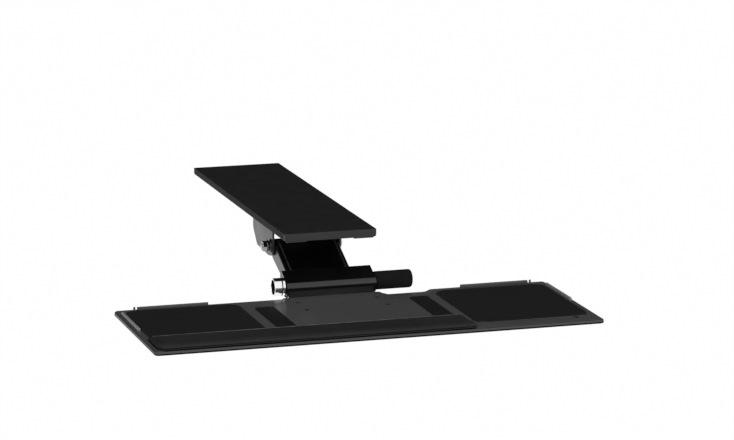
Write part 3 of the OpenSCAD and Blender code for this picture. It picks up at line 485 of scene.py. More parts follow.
def closeGroup(group, start, end, shape):
    # the last steps of every group: real geometry with its finish
    real = group.nodes.new("GeometryNodeRealizeInstances")
    finish = group.nodes.new("GeometryNodeSetMaterial")
    group.links.new(shape, real.inputs["Geometry"])
    group.links.new(real.outputs["Geometry"], finish.inputs["Geometry"])
    group.links.new(start.outputs["Finish"], finish.inputs["Material"])
    group.links.new(finish.outputs["Geometry"], end.inputs["Geometry"])


def scatterGroup():
    # one tool on every point, tilted, with a chance turn about its own axis
    group, start, end = newGroup("scatterTool", [
        ("Tool", "Object"), ("Finish", "Material"), ("Tilt", "Vector"), ("Turn", "Float"), ("Seed", "Int")])
    tool = group.nodes.new("GeometryNodeObjectInfo")
    chance = group.nodes.new("FunctionNodeRandomValue")
    spin = group.nodes.new("ShaderNodeCombineXYZ")
    spinTurn = group.nodes.new("FunctionNodeEulerToRotation")
    tiltTurn = group.nodes.new("FunctionNodeEulerToRotation")
    both = group.nodes.new("FunctionNodeRotateRotation")
    both.rotation_space = "LOCAL"
    place = group.nodes.new("GeometryNodeInstanceOnPoints")
    highest = [socket for socket in chance.inputs if socket.enabled and socket.name == "Max"][0]
    number = [socket for socket in chance.outputs if socket.enabled][0]
    links = group.links
    links.new(start.outputs["Tool"], tool.inputs["Object"])
    links.new(start.outputs["Turn"], highest)
    links.new(start.outputs["Seed"], chance.inputs["Seed"])
    links.new(number, spin.inputs["Z"])
    links.new(spin.outputs[0], spinTurn.inputs[0])
    links.new(start.outputs["Tilt"], tiltTurn.inputs[0])
    links.new(tiltTurn.outputs[0], both.inputs[0])
    links.new(spinTurn.outputs[0], both.inputs[1])
    links.new(start.outputs["Geometry"], place.inputs["Points"])
    links.new(tool.outputs["Geometry"], place.inputs["Instance"])
    links.new(both.outputs[0], place.inputs["Rotation"])
    closeGroup(group, start, end, place.outputs["Instances"])
    return group


def tubeGroup():
    # a round tube along a line of points
    group, start, end = newGroup("tubeOnPath", [
        ("Radius", "Float"), ("Sides", "Int"), ("Finish", "Material")])
    curve = group.nodes.new("GeometryNodeMeshToCurve")
    ring = group.nodes.new("GeometryNodeCurvePrimitiveCircle")
    skin = group.nodes.new("GeometryNodeCurveToMesh")
    skin.inputs["Fill Caps"].default_value = True
    links = group.links
    links.new(start.outputs["Geometry"], curve.inputs["Mesh"])
    links.new(start.outputs["Radius"], ring.inputs["Radius"])
    links.new(start.outputs["Sides"], ring.inputs["Resolution"])
    links.new(curve.outputs["Curve"], skin.inputs["Curve"])
    links.new(ring.outputs["Curve"], skin.inputs["Profile Curve"])
    closeGroup(group, start, end, skin.outputs["Mesh"])
    return group


scatterTool = scatterGroup()
tubeOnPath = tubeGroup()


def runGroup(name, mesh, group, values, degrees=35):
    # the group's result on a mesh, as a plain mesh
    item = bpy.data.objects.new(name, mesh)
    scene.collection.objects.link(item)
    steps = item.modifiers.new(name, "NODES")
    entries = group.interface.items_tree
    sockets = {entry.name: entry.identifier for entry in entries if entry.in_out == "INPUT"}
    steps.node_group = group
    for label, value in values.items():
        steps[sockets[label]] = value
    result = bakeModifiers(item)
    shadeByAngle(result, degrees)
    return result


def scatter(name, tool, places, finish, tilt=(0.0, 0.0, 0.0), turn=0.0, seed=1):
    points = bpy.data.meshes.new(name)
    points.from_pydata([tuple(place) for place in places], [], [])
    toolItem = bpy.data.objects.new(name + "Tool", tool)
    scene.collection.objects.link(toolItem)
    values = {"Tool": toolItem, "Finish": finishes[finish], "Tilt": tilt, "Turn": turn, "Seed": seed}
    result = runGroup(name, points, scatterTool, values)
    bpy.data.objects.remove(toolItem)
    return result


def tubes(name, paths, radius, sides, finish):
    points, edges = [], []
    for path in paths:
        first = len(points)
        points += [tuple(point) for point in path]
        edges += [(first + k, first + k + 1) for k in range(len(path) - 1)]
    lines = bpy.data.meshes.new(name)
    lines.from_pydata(points, edges, [])
    values = {"Radius": radius, "Sides": sides, "Finish": finishes[finish]}
    return runGroup(name, lines, tubeOnPath, values, 60)


# metal frame, arm and head: the CAD shapes with broken edges

edgeWidths = {
    "track": ("track_body", "painted_steel", "trackPaint", 0.5),
    "front_cap": ("track_body", "black_plastic", "mouldedBlack", 0.6),
    "rear_cap": ("track_body", "black_plastic", "mouldedBlack", 0.6),
    "carriage_plate": ("carriage", "painted_steel", "powderCoat", 0.4),
    "glides": ("carriage", "acetal", "acetalWhite", 0.5),
    "swivel_nut": ("carriage", "zinc_steel", "zincPlate", 0.5),
    "swivel_bolt": ("carriage", "zinc_steel", "zincPlate", 0.4),
    "turntable_disc": ("bracket", "acetal", "acetalWhite", 0.4),
    "swivel_bracket": ("bracket", "painted_steel", "bracketPaint", 0.5),
    "pivot_bolt": ("bracket", "zinc_steel", "zincPlate", 0.5),
    "thrust_washers": ("bracket", "zinc_steel", "washerZinc", 0.25),
    "lock_nut": ("bracket", "black_steel", "nutZinc", 0.6),
    "arm_channel": ("arm", "painted_steel", "armPaintAndShade", 0.5),
    "level_link": ("link", "painted_steel", "powderCoat", 0.5),
    "head_frame": ("head", "painted_steel", "powderCoat", 0.5),
    "hood": ("head", "black_plastic", "hoodBlackAndShade", 0.7),
    "barrel_plug": ("head", "black_plastic", "plugBlack", 0.3),
    "dial_collar": ("head", "black_plastic", "mouldedBlack", 0.3),
    "dial_grip": ("dial", "soft_rubber", "dialRubber", 0.3),
    "plate_bracket": ("tray", "painted_steel", "powderCoat", 0.5),
}
softened = {}
for node, (body, slot, finish, width) in edgeWidths.items():
    softened[node] = softenedCopy(node, body, finish, width)
print("frame pieces softened:", len(edgeWidths))

plainFinishes = {
    "zincPlate": ["spring_anchor", "rear_link_pin", "front_pin", "front_link_pin", "tilt_tube",
                  "tilt_screw"],
    "springWire": ["disc_springs"],
    "blackOxide": ["pin_clips"],
    "acetalWhite": ["tube_bushes"],
    "bearingBronze": ["arm_bushes", "tilt_nut"],
    "mouldedBlack": ["dial_hub"],
}
for finish, nodes in plainFinishes.items():
    for node in nodes:
        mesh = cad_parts[node].data
        mesh.materials.clear()
        mesh.materials.append(finishes[finish])


# bright barrel, lower ends of the hood and outer end of the dial

tiltLow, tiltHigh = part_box("barrel")
tiltY, tiltZ = (tiltLow.y + tiltHigh.y) / 2, (tiltLow.z + tiltHigh.z) / 2
barrelSize = {"radius": 14.0, "bore": 11.4, "long": 18.0, "ring": 5.0, "gap": 1.2, "groove": 1.5,
              "deep": 1.6, "lip": 0.7, "edge": 0.25, "floor": 3.0, "hole": 2.0}
dialSize = {"round": 3.8, "dish": 8.0, "dishEdge": 0.5, "dishDeep": 0.3, "hole": 0.4}
skirtSize = {"thick": 2.1, "inset": 0.05, "edge": 0.25, "noseLow": 4.0, "wall": 2.3, "facing": 0.9}


def buildBarrel(s):
    # turned about its axis from the hood outwards
    r, bore, end, lip, edge = s["radius"], s["bore"], s["long"], s["lip"], s["edge"]
    root = r - s["deep"]
    second = s["ring"] + s["groove"]
    profile = [(s["hole"], 0.0), (root, 0.0), (root, s["gap"]), (r - edge, s["gap"]), (r, s["gap"] + edge),
               (r, s["ring"] - edge), (r - edge, s["ring"]), (root, s["ring"]), (root, second),
               (r - edge, second), (r, second + edge)]
    for k in range(6):
        turn = math.pi / 2 * k / 5
        profile.append((r - lip + lip * math.cos(turn), end - lip + lip * math.sin(turn)))
    profile += [(bore + 0.4, end), (bore + 0.1, end - 0.15), (bore, end - 0.5), (bore, s["floor"]),
                (s["hole"], s["floor"])]
    bm = bmesh.new()
    lathe(bm, profile, 72)
    for vert in bm.verts:
        vert.co = Vector((tiltHigh.x - vert.co.z * mm, tiltY - vert.co.x * mm, tiltZ + vert.co.y * mm))
    mesh = finishMesh(bm, "bright_barrel", 40)
    addPiece("bright_barrel", mesh, "head", "chromePlate", ["barrel"], "plugBlack")
    for face in mesh.polygons:
        out = (tiltHigh.x - face.center.x) / mm
        around = math.hypot(face.center.y - tiltY, face.center.z - tiltZ) / mm
        if out < second and bore + 0.4 < around < r - 0.4:
            face.material_index = 1


def buildSkirts(s):
    # lower ends of the hood, inside the sweep of the board's rear edge
    hoodLow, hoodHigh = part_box("hood")
    loop = [Vector(p) for p in (
        (-14.9, -9.0), (-15.15, -10.6), (-14.8, -11.8), (-14.1, -13.1), (-13.2, -14.1), (-12.1, -14.9),
        (-10.6, -15.4), (-6.0, -15.6), (2.0, -15.6), (8.0, -14.4), (11.5, -12.6), (12.5, -9.0))]
    bm = bmesh.new()
    for start in (hoodLow.x / mm + s["inset"], hoodHigh.x / mm - s["inset"] - s["thick"]):
        end, edge = start + s["thick"], s["edge"]
        part = bmesh.new()
        rimSolid(part, loop, [(edge, start), (0.0, start + edge), (0.0, end - edge), (edge, end)])
        for vert in part.verts:
            vert.co = Vector((vert.co.z * mm, tiltY + vert.co.x * mm, tiltZ + vert.co.y * mm))
        joined = bpy.data.meshes.new("skirtPart")
        part.to_mesh(joined)
        part.free()
        bm.from_mesh(joined)
        bpy.data.meshes.remove(joined)
    addPiece("hood_skirts", finishMesh(bm, "hood_skirts", 40), "head", "skirtBlack")


def dullEnds(mesh, s):
    # the inner sides and lower edges of the hood's end walls are dull, unlike its polished front
    mesh.materials.append(finishes["skirtBlack"])
    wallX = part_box("hood")[1].x - s["wall"] * mm
    edgeZ = tiltZ - s["noseLow"] * mm
    for face in mesh.polygons:
        if abs(face.normal.x) > s["facing"]:
            dull = face.normal.x * face.center.x < 0
        else:
            dull = face.center.z < edgeZ and abs(face.center.x) > wallX
        if dull:
            face.material_index = 1


def buildDialEnd(s):
    # rounded outer end of the dial
    low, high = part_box("dial_cap")
    radius, deep = (high.z - low.z) / 2 / mm, (high.x - low.x) / mm
    bend, dish, sunk = s["round"], s["dish"], deep - s["dishDeep"]
    profile = [(s["hole"], 0.0), (radius - 0.2, 0.0), (radius, 0.15)]
    for k in range(1, 11):
        turn = math.pi / 2 * k / 10
        profile.append((radius - bend + bend * math.cos(turn), deep - bend + bend * math.sin(turn)))
    profile += [(dish, deep), (dish - s["dishEdge"], sunk), (s["hole"], sunk)]
    bm = bmesh.new()
    lathe(bm, profile, 64)
    for vert in bm.verts:
        vert.co = Vector((low.x + vert.co.z * mm, tiltY + vert.co.x * mm, tiltZ + vert.co.y * mm))
    addPiece("dial_end", finishMesh(bm, "dial_end"), "dial", "dialRubber", ["dial_cap"])


buildBarrel(barrelSize)
buildSkirts(skirtSize)
dullEnds(softened["hood"].data, skirtSize)
buildDialEnd(dialSize)
print("barrel, hood ends and dial end made")


# springs and raised lines of the arm

pivotLow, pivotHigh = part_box("pivot_bolt")
pivotY, pivotZ = (pivotLow.y + pivotHigh.y) / 2, (pivotLow.z + pivotHigh.z) / 2
armSize = {"slope": 24.0, "top": 10.5, "beadX": 44.5, "beadFrom": 4.0, "beadTo": 104.0, "beadRadius": 1.5,
           "beadSink": 0.5}
springSize = {"wire": 2.6, "coil": 6.4, "turns": 4.5, "pitch": 3.4, "leg": 24.0, "bend": 13.0,
              "inner": 27.8, "steps": 20}


def armBeads(s):
    # raised beads along the arm's top edges, coloured lighter than the arm as a painted highlight along its
    # bends
    slope = math.radians(s["slope"])
    high = s["top"] - s["beadSink"]
    paths = []
    for side in (-1, 1):
        path = []
        for along in (s["beadFrom"], s["beadTo"]):
            y = pivotY - (along * math.cos(slope) + high * math.sin(slope)) * mm
            z = pivotZ + (high * math.cos(slope) - along * math.sin(slope)) * mm
            path.append((side * s["beadX"] * mm, y, z))
        paths.append(path)
    mesh = tubes("arm_beads", paths, s["beadRadius"] * mm, 16, "beadHighlightPaint")
    addPiece("arm_beads", mesh, "arm", "beadHighlightPaint")


def liftSprings(s):
    spin = math.radians(s["turns"] * 360 - armSize["slope"])
    start = math.radians(90 + armSize["slope"])
    count = round(s["steps"] * s["turns"])
    paths = []
    for side in (-1, 1):
        path = []
        for k in range(count + 1):
            angle = start + spin * k / count
            x = s["inner"] + s["pitch"] * s["turns"] * k / count
            path.append(Vector((side * x, s["coil"] * math.cos(angle), s["coil"] * math.sin(angle))))
        upper = start - math.radians(s["bend"])
        for angle, index, sign in ((upper, 0, -1), (start + spin, len(path), 1)):
            along = Vector((0.0, -math.sin(angle), math.cos(angle))) * s["leg"] * sign
            path.insert(index, (path[0] if index == 0 else path[-1]) + along)
        paths.append([(p.x * mm, p.y * mm + pivotY, p.z * mm + pivotZ) for p in path])
    mesh = tubes("wound_springs", paths, s["wire"] / 2 * mm, 10, "springWire")
    addPiece("wound_springs", mesh, "bracket", "springWire", ["lift_springs"])


armBeads(armSize)
liftSprings(springSize)


# rivets, screws and pegs

rivetSize = {"head": 7.2, "dome": 1.0, "shank": 4.0, "long": 6.2}
headScrewSize = {"head": 6.0, "high": 1.6, "shank": 3.0, "long": 9.0, "key": 2.6, "deep": 0.9}
screwSize = {"across": 63.5, "back": 28.0, "pitch": 51.0, "head": 8.0, "land": 0.4, "shank": 4.0,
             "long": 10.6, "key": 3.2, "deep": 1.7}
pegSize = {"wide": 3.4, "high": 5.0, "round": 1.1}


def scaled(bm, name):
    bmesh.ops.scale(bm, vec=(mm, mm, mm), verts=bm.verts)
    return finishMesh(bm, name)


def keyedHead(bm, profile, key, deep, segments=24):
    # turned shape whose flat top, the last step, has a six-sided hole for a key
    lathe(bm, profile, segments, closeEnd=False)
    bm.verts.ensure_lookup_table()
    rim = bm.verts[-segments:]
    top = profile[-1][1]
    rings = [rim]
    for depth in (0.0, deep):
        ring = []
        for k in range(segments):
            turn = 2 * math.pi * k / segments
            radius = key / 2 / math.cos((turn + math.pi / 6) % (math.pi / 3) - math.pi / 6)
            ring.append(bm.verts.new((radius * math.cos(turn), radius * math.sin(turn), top - depth)))
        rings.append(ring)
    for low, high in zip(rings, rings[1:]):
        bridgeRings(bm, low, high)
    bm.faces.new(rings[-1])


def rivetTool(s):
    bm = bmesh.new()
    half, shank = s["head"] / 2, s["shank"] / 2
    turns = [math.pi / 2 * k / 6 for k in range(6)]
    dome = [(half * math.cos(t), s["dome"] * math.sin(t)) for t in turns] + [(0.3, s["dome"])]
    lathe(bm, [(shank, -s["long"] + s["dome"]), (shank, 0.0)] + dome, 24)
    return scaled(bm, "rivetTool")


def headScrewTool(s):
    bm = bmesh.new()
    half, high, shank = s["head"] / 2, s["high"], s["shank"] / 2
    keyedHead(bm, [(shank, -s["long"]), (shank, 0.0), (half, 0.0), (half, high * 0.5),
                   (half - 0.25, high * 0.8), (half - 0.8, high)], s["key"], s["deep"])
    return scaled(bm, "headScrewTool")


def boardScrewTool(s):
    bm = bmesh.new()
    half, shank = s["head"] / 2 - 0.15, s["shank"] / 2
    keyedHead(bm, [(shank - 0.4, -s["long"]), (shank, -s["long"] + 0.4), (shank, -s["land"] - half + shank),
                   (half, -s["land"]), (half, -0.15), (half - 0.2, 0.0)], s["key"], s["deep"])
    return scaled(bm, "boardScrewTool")


def pegTool(s):
    bm = bmesh.new()
    half = s["wide"] / 2
    lathe(bm, [(half, 0.0)] + [(half - inset, z) for inset, z in roundTop(s["round"], s["high"])], 24)
    return scaled(bm, "pegTool")


rivetLow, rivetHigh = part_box("cap_rivets")
rivetInset = rivetSize["head"] / 2 * mm
rivetPlaces = [(x, y, rivetLow.z + rivetSize["dome"] * mm)
               for x in (rivetLow.x + rivetInset, rivetHigh.x - rivetInset)
               for y in (rivetLow.y + rivetInset, rivetHigh.y - rivetInset)]
rivetMesh = scatter("domed_rivets", rivetTool(rivetSize), rivetPlaces, "zincPlate", (math.pi, 0.0, 0.0))
addPiece("domed_rivets", rivetMesh, "track_body", "zincPlate", ["cap_rivets"])

hoodScrewLow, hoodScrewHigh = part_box("hood_screws")
hoodScrewInset = headScrewSize["head"] / 2 * mm
hoodScrewPlaces = [(x, hoodScrewHigh.y - headScrewSize["high"] * mm, hoodScrewHigh.z - hoodScrewInset)
                   for x in (hoodScrewLow.x + hoodScrewInset, hoodScrewHigh.x - hoodScrewInset)]
hoodScrewMesh = scatter("socket_screws", headScrewTool(headScrewSize), hoodScrewPlaces, "zincPlate",
                        (-math.pi / 2, 0.0, 0.0), 1.0, 3)
addPiece("socket_screws", hoodScrewMesh, "head", "zincPlate", ["hood_screws"])

pegLow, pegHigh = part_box("guard_pegs")
pegPlaces = [(x, (pegLow.y + pegHigh.y) / 2, pegLow.z) for x in (pegLow.x + pegSize["wide"] / 2 * mm,
                                                                 pegHigh.x - pegSize["wide"] / 2 * mm)]
pegMesh = scatter("round_pegs", pegTool(pegSize), pegPlaces, "guardPlastic")
addPiece("round_pegs", pegMesh, "tray", "guardPlastic", ["guard_pegs"])
print("springs, screws, rivets and pegs made")


# board

boardLow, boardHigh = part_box("board")
boardTop = boardHigh.z
boardSize = {"width": 689.0, "depth": 266.7, "thick": 6.6, "rearCorner": 7.0, "frontCorner": 7.0,
             "edgeWide": 3.4, "edgeHigh": 3.0, "rearEdge": 1.4, "underEdge": 1.3, "shadeBandHigh": 2.5,
             "tongueHalf": 78.0, "tongueDeep": 7.65, "notchIn": 85.0, "notchWide": 58.0, "notchDeep": 13.5,
             "padGap": 0.4, "padSink": 0.7, "rim": 0.3, "slotX": 308.2, "slotWide": 5.4, "slotDeep": 7.5,
             "facing": 0.97}
boardY = boardLow.y + boardSize["depth"] / 2 * mm
padSize = {"wide": 178.0, "inner": 155.0, "deep": 219.0, "corner": 20.0, "backRight": 18.0,
           "backLeft": 12.0, "frontLeft": -49.35, "frontCorner": 1.0, "thick": 2.0, "edge": 0.9, "foot": 0.25}


def atBoard(bm):
    # from millimetres about the middle of the board top to the frame
    for vert in bm.verts:
        vert.co = Vector((vert.co.x * mm, vert.co.y * mm + boardY, vert.co.z * mm + boardTop))


def boardLoop(s, side, rear):
    # outline of the board, moved in at the front and sides and by another distance along the back
    half, front = s["width"] / 2 - side, side - s["depth"] / 2
    back = s["depth"] / 2 - rear
    inner, outer = s["notchIn"] - rear * 0.6, s["notchIn"] + s["notchWide"] + rear * 0.4
    tongue = s["tongueHalf"] - rear
    floor = back - s["notchDeep"]
    near = max(0.4, s["frontCorner"] - side * 0.7)
    far = s["rearCorner"] - side
    return roundedLoop([
        (-half, front, near), (half, front, near), (half, back, far),
        (outer + s["notchDeep"], back, 5), (outer, floor, 5), (inner, floor, 4),
        (tongue + 1, back - 1, 3), (tongue, back + s["tongueDeep"], 4),
        (-tongue, back + s["tongueDeep"], 4), (-tongue - 4, back, 2), (-half, back, far)])


def padLoop(side, s, grow=0.0, slot=False):
    # outline of a mat, or of its recess with a lifting slot at the front
    back = boardSize["depth"] / 2 - (s["backRight"] if side > 0 else s["backLeft"]) + grow
    front = (back - grow - s["deep"] if side > 0 else s["frontLeft"]) - grow
    x0 = (s["inner"] if side > 0 else -s["inner"] - s["wide"]) - grow
    x1 = x0 + s["wide"] + 2 * grow
    near, far = (s["corner"] if side > 0 else s["frontCorner"]) + grow, s["corner"] + grow
    points = [(x0, front, near), (x1, front, near), (x1, back, far), (x0, back, far)]
    if slot:
        middle, half = boardSize["slotX"], boardSize["slotWide"] / 2
        left, right = middle - half, middle + half
        deep = front - boardSize["slotDeep"]
        points[1:1] = [(left - grow, front, 0.3), (left - grow, deep, 0.8), (right + grow, deep, 0.8),
                       (right + grow, front, 0.3)]
    return roundedLoop(points)


def screwPlaces(s):
    back = boardSize["depth"] / 2 - s["back"]
    return [(x, back - row * s["pitch"]) for x in (-s["across"], s["across"]) for row in (0, 1)]


def buildBoard(s):
    bm = bmesh.new()
    under, low = s["underEdge"], -s["thick"]
    steps = [(under, under, low), (under * 0.3, under * 0.3, low + under * 0.3), (0.0, 0.0, low + under),
             (0.0, 0.0, low + s["shadeBandHigh"]), (0.0, 0.0, low + s["shadeBandHigh"] + 0.05)]
    for k in range(9):
        turn = math.pi / 2 * k / 8
        share = 1 - math.cos(turn)
        steps.append((s["edgeWide"] * share, s["rearEdge"] * share, s["edgeHigh"] * (math.sin(turn) - 1)))
    rings = [addRing(bm, boardLoop(s, side, rear), z) for side, rear, z in steps]
    for lower, upper in zip(rings, rings[1:]):
        bridgeRings(bm, lower, upper)
    bm.faces.new(list(reversed(rings[0])))
    rims = [rings[-1]]
    for side in (-1, 1):
        levels = [(s["padGap"] + s["rim"], 0.0), (s["padGap"], -s["rim"]), (s["padGap"], -s["padSink"])]
        recess = [addRing(bm, padLoop(side, padSize, grow, side > 0), z) for grow, z in levels]
        for upper, lower in zip(recess, recess[1:]):
            bridgeRings(bm, upper, lower)
        bm.faces.new(recess[-1])
        rims.append(recess[0])
    head = screwSize["head"] / 2
    cone = [(head + 0.3, 0.0), (head + 0.05, -0.25), (head / 2, -head / 2 - screwSize["land"] - 0.1)]
    turns = [2 * math.pi * k / 24 for k in range(24)]
    for x, y in screwPlaces(screwSize):
        sink = []
        for radius, z in cone:
            points = [(x + radius * math.cos(t), y + radius * math.sin(t), z) for t in turns]
            sink.append([bm.verts.new(point) for point in points])
        for upper, lower in zip(sink, sink[1:]):
            bridgeRings(bm, upper, lower)
        bm.faces.new(sink[-1])
        rims.append(sink[0])
    edges = []
    for ring in rims:
        for i in range(len(ring)):
            edges.append(bm.edges.get((ring[i - 1], ring[i])))
    bmesh.ops.triangle_fill(bm, use_beauty=True, edges=edges, normal=(0, 0, 1))
    atBoard(bm)
    mesh = finishMesh(bm, "board_panel", 30)
    addPiece("board_panel", mesh, "tray", "boardLaminateAndReflection", ["board"], "paintedShadeBlack")
    # the lower part of the board's edge and its underside get the near-black finish as painted shade, where
    # the edge falls into shadow
    secondFinish(mesh, boardTop - (s["thick"] - s["shadeBandHigh"]) * mm)
    for face in mesh.polygons:
        # the side edges keep the board's own finish, without the painted shade
        if abs(face.normal.x) > s["facing"]:
            face.material_index = 0
    # the floor of the mat recesses and of the lifting slot is painted near-black as painted shade
    secondFinish(mesh, boardTop - (s["padSink"] - 0.1) * mm, boardTop - (s["padSink"] + 0.1) * mm)


buildBoard(boardSize)
boardScrewPlaces = [(x * mm, y * mm + boardY, boardTop) for x, y in screwPlaces(screwSize)]
boardScrewMesh = scatter("countersunk_screws", boardScrewTool(screwSize), boardScrewPlaces, "screwBlack",
                         (0.0, 0.0, 0.0), math.pi / 3, 7)
addPiece("countersunk_screws", boardScrewMesh, "tray", "screwBlack", ["board_screws"])


def buildPad(side, name, node):
    bm = bmesh.new()
    s = padSize
    top = s["thick"] - boardSize["padSink"]
    low = -boardSize["padSink"]
    profile = [(s["foot"], low), (0.0, low + s["foot"])] + roundTop(s["edge"], top - 0.12)
    profile += [(3.0, top - 0.03), (7.0, top)]
    rimSolid(bm, padLoop(side, s), profile)
    atBoard(bm)
    mesh = finishMesh(bm, name, 60)
    pad = addPiece(name, mesh, "tray", "padCloth", [node], "matRubber")
    secondFinish(mesh, boardTop + (top - 0.3) * mm)


buildPad(-1, "mouse_mat_left", "mouse_pad_left")
buildPad(1, "mouse_mat_right", "mouse_pad_right")

stripSize = {"wide": 29.5, "inner": 107.5, "front": -49.35, "back": 46.0, "thick": 1.3, "corner": 5.0,
             "frontCorner": 1.0, "edge": 0.6}


def buildStrip(side, name, node):
    s = stripSize
    x0 = s["inner"] if side > 0 else -s["inner"] - s["wide"]
    x1, back = x0 + s["wide"], boardSize["depth"] / 2 - s["back"]
    bm = bmesh.new()
    loop = roundedLoop([(x0, s["front"], s["frontCorner"]), (x1, s["front"], s["frontCorner"]),
                        (x1, back, s["corner"]), (x0, back, s["corner"])])
    rimSolid(bm, loop, [(0.0, 0.0)] + roundTop(s["edge"], s["thick"]))
    atBoard(bm)
    addPiece(name, finishMesh(bm, name, 60), "tray", "stripRubber", [node])


buildStrip(-1, "keyboard_strip_left", "grip_strip_left")
buildStrip(1, "keyboard_strip_right", "grip_strip_right")


guardSize = {"corner": 1.2, "slope": 4.0, "round": 0.5, "foot": 0.25}


def buildGuard(name, node, finish, s):
    # bar with sloping sides and a rounded top, fitted to the box of its CAD node
    low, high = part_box(node)
    x0, x1 = low.x / mm, high.x / mm
    y0, y1 = (low.y - boardY) / mm, (high.y - boardY) / mm
    tall = (high.z - low.z) / mm
    bm = bmesh.new()
    loop = roundedLoop([(x, y, s["corner"]) for x, y in ((x0, y0), (x1, y0), (x1, y1), (x0, y1))])
    lean = math.tan(math.radians(s["slope"]))
    top = [(inset + z * lean, z) for inset, z in roundTop(s["round"], tall, 4)]
    rimSolid(bm, loop, [(s["foot"], 0.0), (s["foot"] * lean, s["foot"])] + top)
    atBoard(bm)
    addPiece(name, finishMesh(bm, name, 60), "tray", finish, [node])


for place, finish in (("rear", "guardPlastic"), ("side", "sideGuardPlastic")):
    for hand in ("left", "right"):
        buildGuard("mouse_stop_%s_%s" % (place, hand), "%s_guard_%s" % (place, hand), finish, guardSize)
print("board, mats, strips and guards built")


# palm rest

palmSize = {"left": -337.6, "right": 144.8, "front": -128.35, "deep": 76.0, "base": 1.0, "crown": 8.0,
            "back": 2.4, "draw": 1.4, "bulge": 1.3, "leftCorner": 11.0, "rightCorner": 3.5,
            "frontRound": 10.0, "backRound": 3.0, "leftRound": 9.0, "rightRound": 3.0, "swell": 0.7,
            "pressure": 4.0, "frames": 20, "shadeFlankHigh": 2.2, "shadowStripBack": 9.0, "shadowStripRight": 2.5,
            "welt": 0.5, "weltLeft": 8.0, "weltRight": 4.0}


def palmRise(distance, span):
    share = min(1.0, max(0.0, distance / span))
    return math.sqrt(max(0.0, 1 - (1 - share) ** 2))


def palmHeight(s, x, y, swell):
    share = min(1.0, max(0.0, (y - s["front"]) / s["deep"]))
    full = s["crown"] - swell - (s["crown"] - s["back"]) * share ** 1.3
    rise = palmRise(y - s["front"], s["frontRound"]) * palmRise(s["front"] + s["deep"] - y, s["backRound"])
    rise *= palmRise(x - s["left"], s["leftRound"]) * palmRise(s["right"] - x, s["rightRound"])
    return s["base"] + s["bulge"] + (full - s["bulge"]) * rise


def palmMesh(s, swell):
    bm = bmesh.new()
    x0, x1, y0, y1, most = s["left"], s["right"], s["front"], s["front"] + s["deep"], s["leftCorner"]
    countX, countY, countC = 90, 12, 8

    def plan(inset):
        # same number of points on every ring, corners shrinking to a point
        near, far = max(0.0, s["rightCorner"] - inset), max(0.0, s["leftCorner"] - inset)
        left, right, low, high = x0 + inset, x1 - inset, y0 + inset, y1 - inset
        corners = [(right - near, low + near, near, -90, countY),
                   (right - near, high - near, near, 0, countX),
                   (left + far, high - far, far, 90, countY),
                   (left + far, low + far, far, 180, countX)]
        arcs = []
        for cx, cy, radius, start, sideCount in corners:
            turns = [math.radians(start + 90.0 * k / countC) for k in range(countC + 1)]
            arcs.append([Vector((cx + radius * math.cos(a), cy + radius * math.sin(a))) for a in turns])
        points = []
        for number, arc in enumerate(arcs):
            begin, end = arc[-1], arcs[(number + 1) % 4][0]
            steps = corners[number][4]
            points += arc[:-1] + [begin.lerp(end, k / steps) for k in range(steps)]
        return points

    rings = []
    for inset, z in ((s["draw"], s["base"]), (s["draw"] * 0.45, s["base"] + s["bulge"] * 0.3),
                     (s["draw"] * 0.1, s["base"] + s["bulge"] * 0.7)):
        rings.append(addRing(bm, plan(inset), z))
    for inset in (0.0, 0.08, 0.3, 0.7, 1.3, 2.1, 3.2, 4.7, 6.5, 8.6, most):
        rings.append([bm.verts.new((p.x, p.y, palmHeight(s, p.x, p.y, swell))) for p in plan(inset)])
    for low, high in zip(rings, rings[1:]):
        bridgeRings(bm, low, high)
    bm.faces.new(list(reversed(rings[0])))
    grid = []
    for j in range(countY + 1):
        y = y0 + most + (y1 - y0 - 2 * most) * j / countY
        xs = [x0 + most + (x1 - x0 - 2 * most) * i / countX for i in range(countX + 1)]
        grid.append([bm.verts.new((x, y, palmHeight(s, x, y, swell))) for x in xs])
    for low, high in zip(grid, grid[1:]):
        for i in range(countX):
            bm.faces.new((low[i], low[i + 1], high[i + 1], high[i]))
    bmesh.ops.remove_doubles(bm, verts=bm.verts, dist=1e-4)
    atBoard(bm)
    return finishMesh(bm, "palm_cushion", 70)


def swellCushion(mesh, s):
    # inflates the skin with its lower edge held, and keeps each point's move small
    item = bpy.data.objects.new("cushionShape", mesh)
    scene.collection.objects.link(item)
    held = item.vertex_groups.new(name="held")
    foot = boardTop + (s["base"] + s["bulge"] * 0.5) * mm
    held.add([vert.index for vert in mesh.vertices if vert.co.z < foot], 1.0, "REPLACE")
    before = [vert.co.copy() for vert in mesh.vertices]
    cloth = item.modifiers.new("cloth", "CLOTH")
    cloth.settings.use_pressure = True
    cloth.settings.uniform_pressure_force = s["pressure"]
    cloth.settings.vertex_group_mass = held.name
    cloth.settings.effector_weights.gravity = 0.0
    cloth.collision_settings.use_collision = False
    for number in range(1, s["frames"] + 1):
        scene.frame_set(number)
    result = bakeModifiers(item)
    scene.frame_set(1)
    most = s["swell"] * mm
    for vert, start in zip(result.vertices, before):
        move = vert.co - start
        if move.length > most:
            vert.co = start + move * (most / move.length)
    return result


def smoothCushion(mesh):
    # one level of smoothing, with the flat foot closed again afterwards
    bm = bmesh.new()
    bm.from_mesh(mesh)
    bmesh.ops.delete(bm, geom=[face for face in bm.faces if len(face.verts) > 4], context="FACES_ONLY")
    bm.to_mesh(mesh)
    bm.free()
    item = bpy.data.objects.new("smoothCushion", mesh)
    scene.collection.objects.link(item)
    smooth = item.modifiers.new("smooth", "SUBSURF")
    smooth.levels = 1
    smooth.render_levels = 1
    bm = bmesh.new()
    bm.from_mesh(bakeModifiers(item))
    bmesh.ops.holes_fill(bm, edges=[edge for edge in bm.edges if edge.is_boundary], sides=0)
    return finishMesh(bm, "palm_cushion", 80)


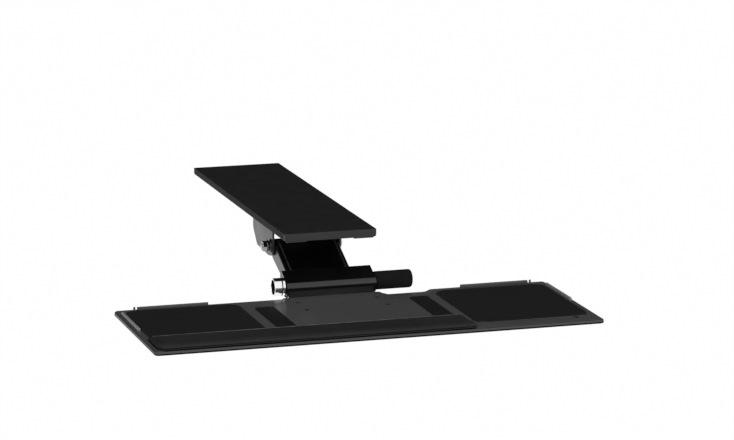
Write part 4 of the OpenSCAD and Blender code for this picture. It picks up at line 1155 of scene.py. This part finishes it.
def buildShadowStrip(s):
    # black strip of painted shadow between the cushion and the board's rounded edge, along the left and the
    # front, standing in for the shade under the cushion's bulge
    section = [(-0.8, -0.3), (-0.8, 0.35), (1.6, 0.35), (2.5, 0.2), (3.3, -0.12), (3.9, -0.6), (3.9, -1.2),
               (1.6, -0.6)]
    corner = s["leftCorner"]
    path = [(s["left"], s["front"] + s["deep"] - s["shadowStripBack"], -1.0, 0.0)]
    for k in range(9):
        turn = math.radians(180 + 90 * k / 8)
        way = math.cos(turn), math.sin(turn)
        path.append((s["left"] + corner * (1 + way[0]), s["front"] + corner * (1 + way[1]), *way))
    path.append((s["right"] - s["shadowStripRight"], s["front"], 0.0, -1.0))
    bm = bmesh.new()
    rings = []
    for x, y, wayX, wayY in path:
        wide = 0.5 + 0.5 * abs(wayY)
        points = [(x + out * wide * wayX, y + out * wide * wayY, z) for out, z in section]
        rings.append([bm.verts.new(point) for point in points])
    for low, high in zip(rings, rings[1:]):
        bridgeRings(bm, low, high)
    bm.faces.new(list(reversed(rings[0])))
    bm.faces.new(rings[-1])
    atBoard(bm)
    addPiece("palm_seal", finishMesh(bm, "palm_seal", 50), "tray", "paintedShadeBlack")


def buildPalmRest(s):
    mesh = swellCushion(palmMesh(s, s["swell"]), s)
    mesh = smoothCushion(mesh)
    rest = addPiece("palm_cushion", mesh, "tray", "palmSkin", ["palm_rest"], "paintedShadeBlack")
    # the cushion's lower flank, up to this height, gets the near-black finish as painted shade
    secondFinish(mesh, boardTop + s["shadeFlankHigh"] * mm)
    x0, x1, y0, y1 = s["left"], s["right"], s["front"], s["front"] + s["deep"]
    near, far = s["rightCorner"], s["leftCorner"]
    bm = bmesh.new()
    loop = roundedLoop([(x0, y0, far), (x1, y0, near), (x1, y1, near), (x0, y1, far)])
    rimSolid(bm, loop, [(0.2, 0.0), (0.0, 0.2), (0.0, s["base"] - 0.2), (0.2, s["base"])])
    atBoard(bm)
    plate = finishMesh(bm, "palm_plate")
    addPiece("palm_plate", plate, "tray", "mouldedBlack", ["palm_rest_base"])
    buildShadowStrip(s)
    # sewn welt along the upper back edge, its colour lighter in dashes as a painted highlight
    y = y1 - s["welt"]
    start, end = x0 + s["weltLeft"], x1 - s["weltRight"]
    xs = [start + (end - start) * k / 40 for k in range(41)]
    path = [(x * mm, y * mm + boardY, boardTop + (palmHeight(s, x, y, 0.0) + 0.1) * mm) for x in xs]
    welt = tubes("palm_welt", [path], s["welt"] * mm, 10, "weltHighlightCord")
    addPiece("palm_welt", welt, "tray", "weltHighlightCord")


buildPalmRest(palmSize)
print("palm rest built")

print("scene done")
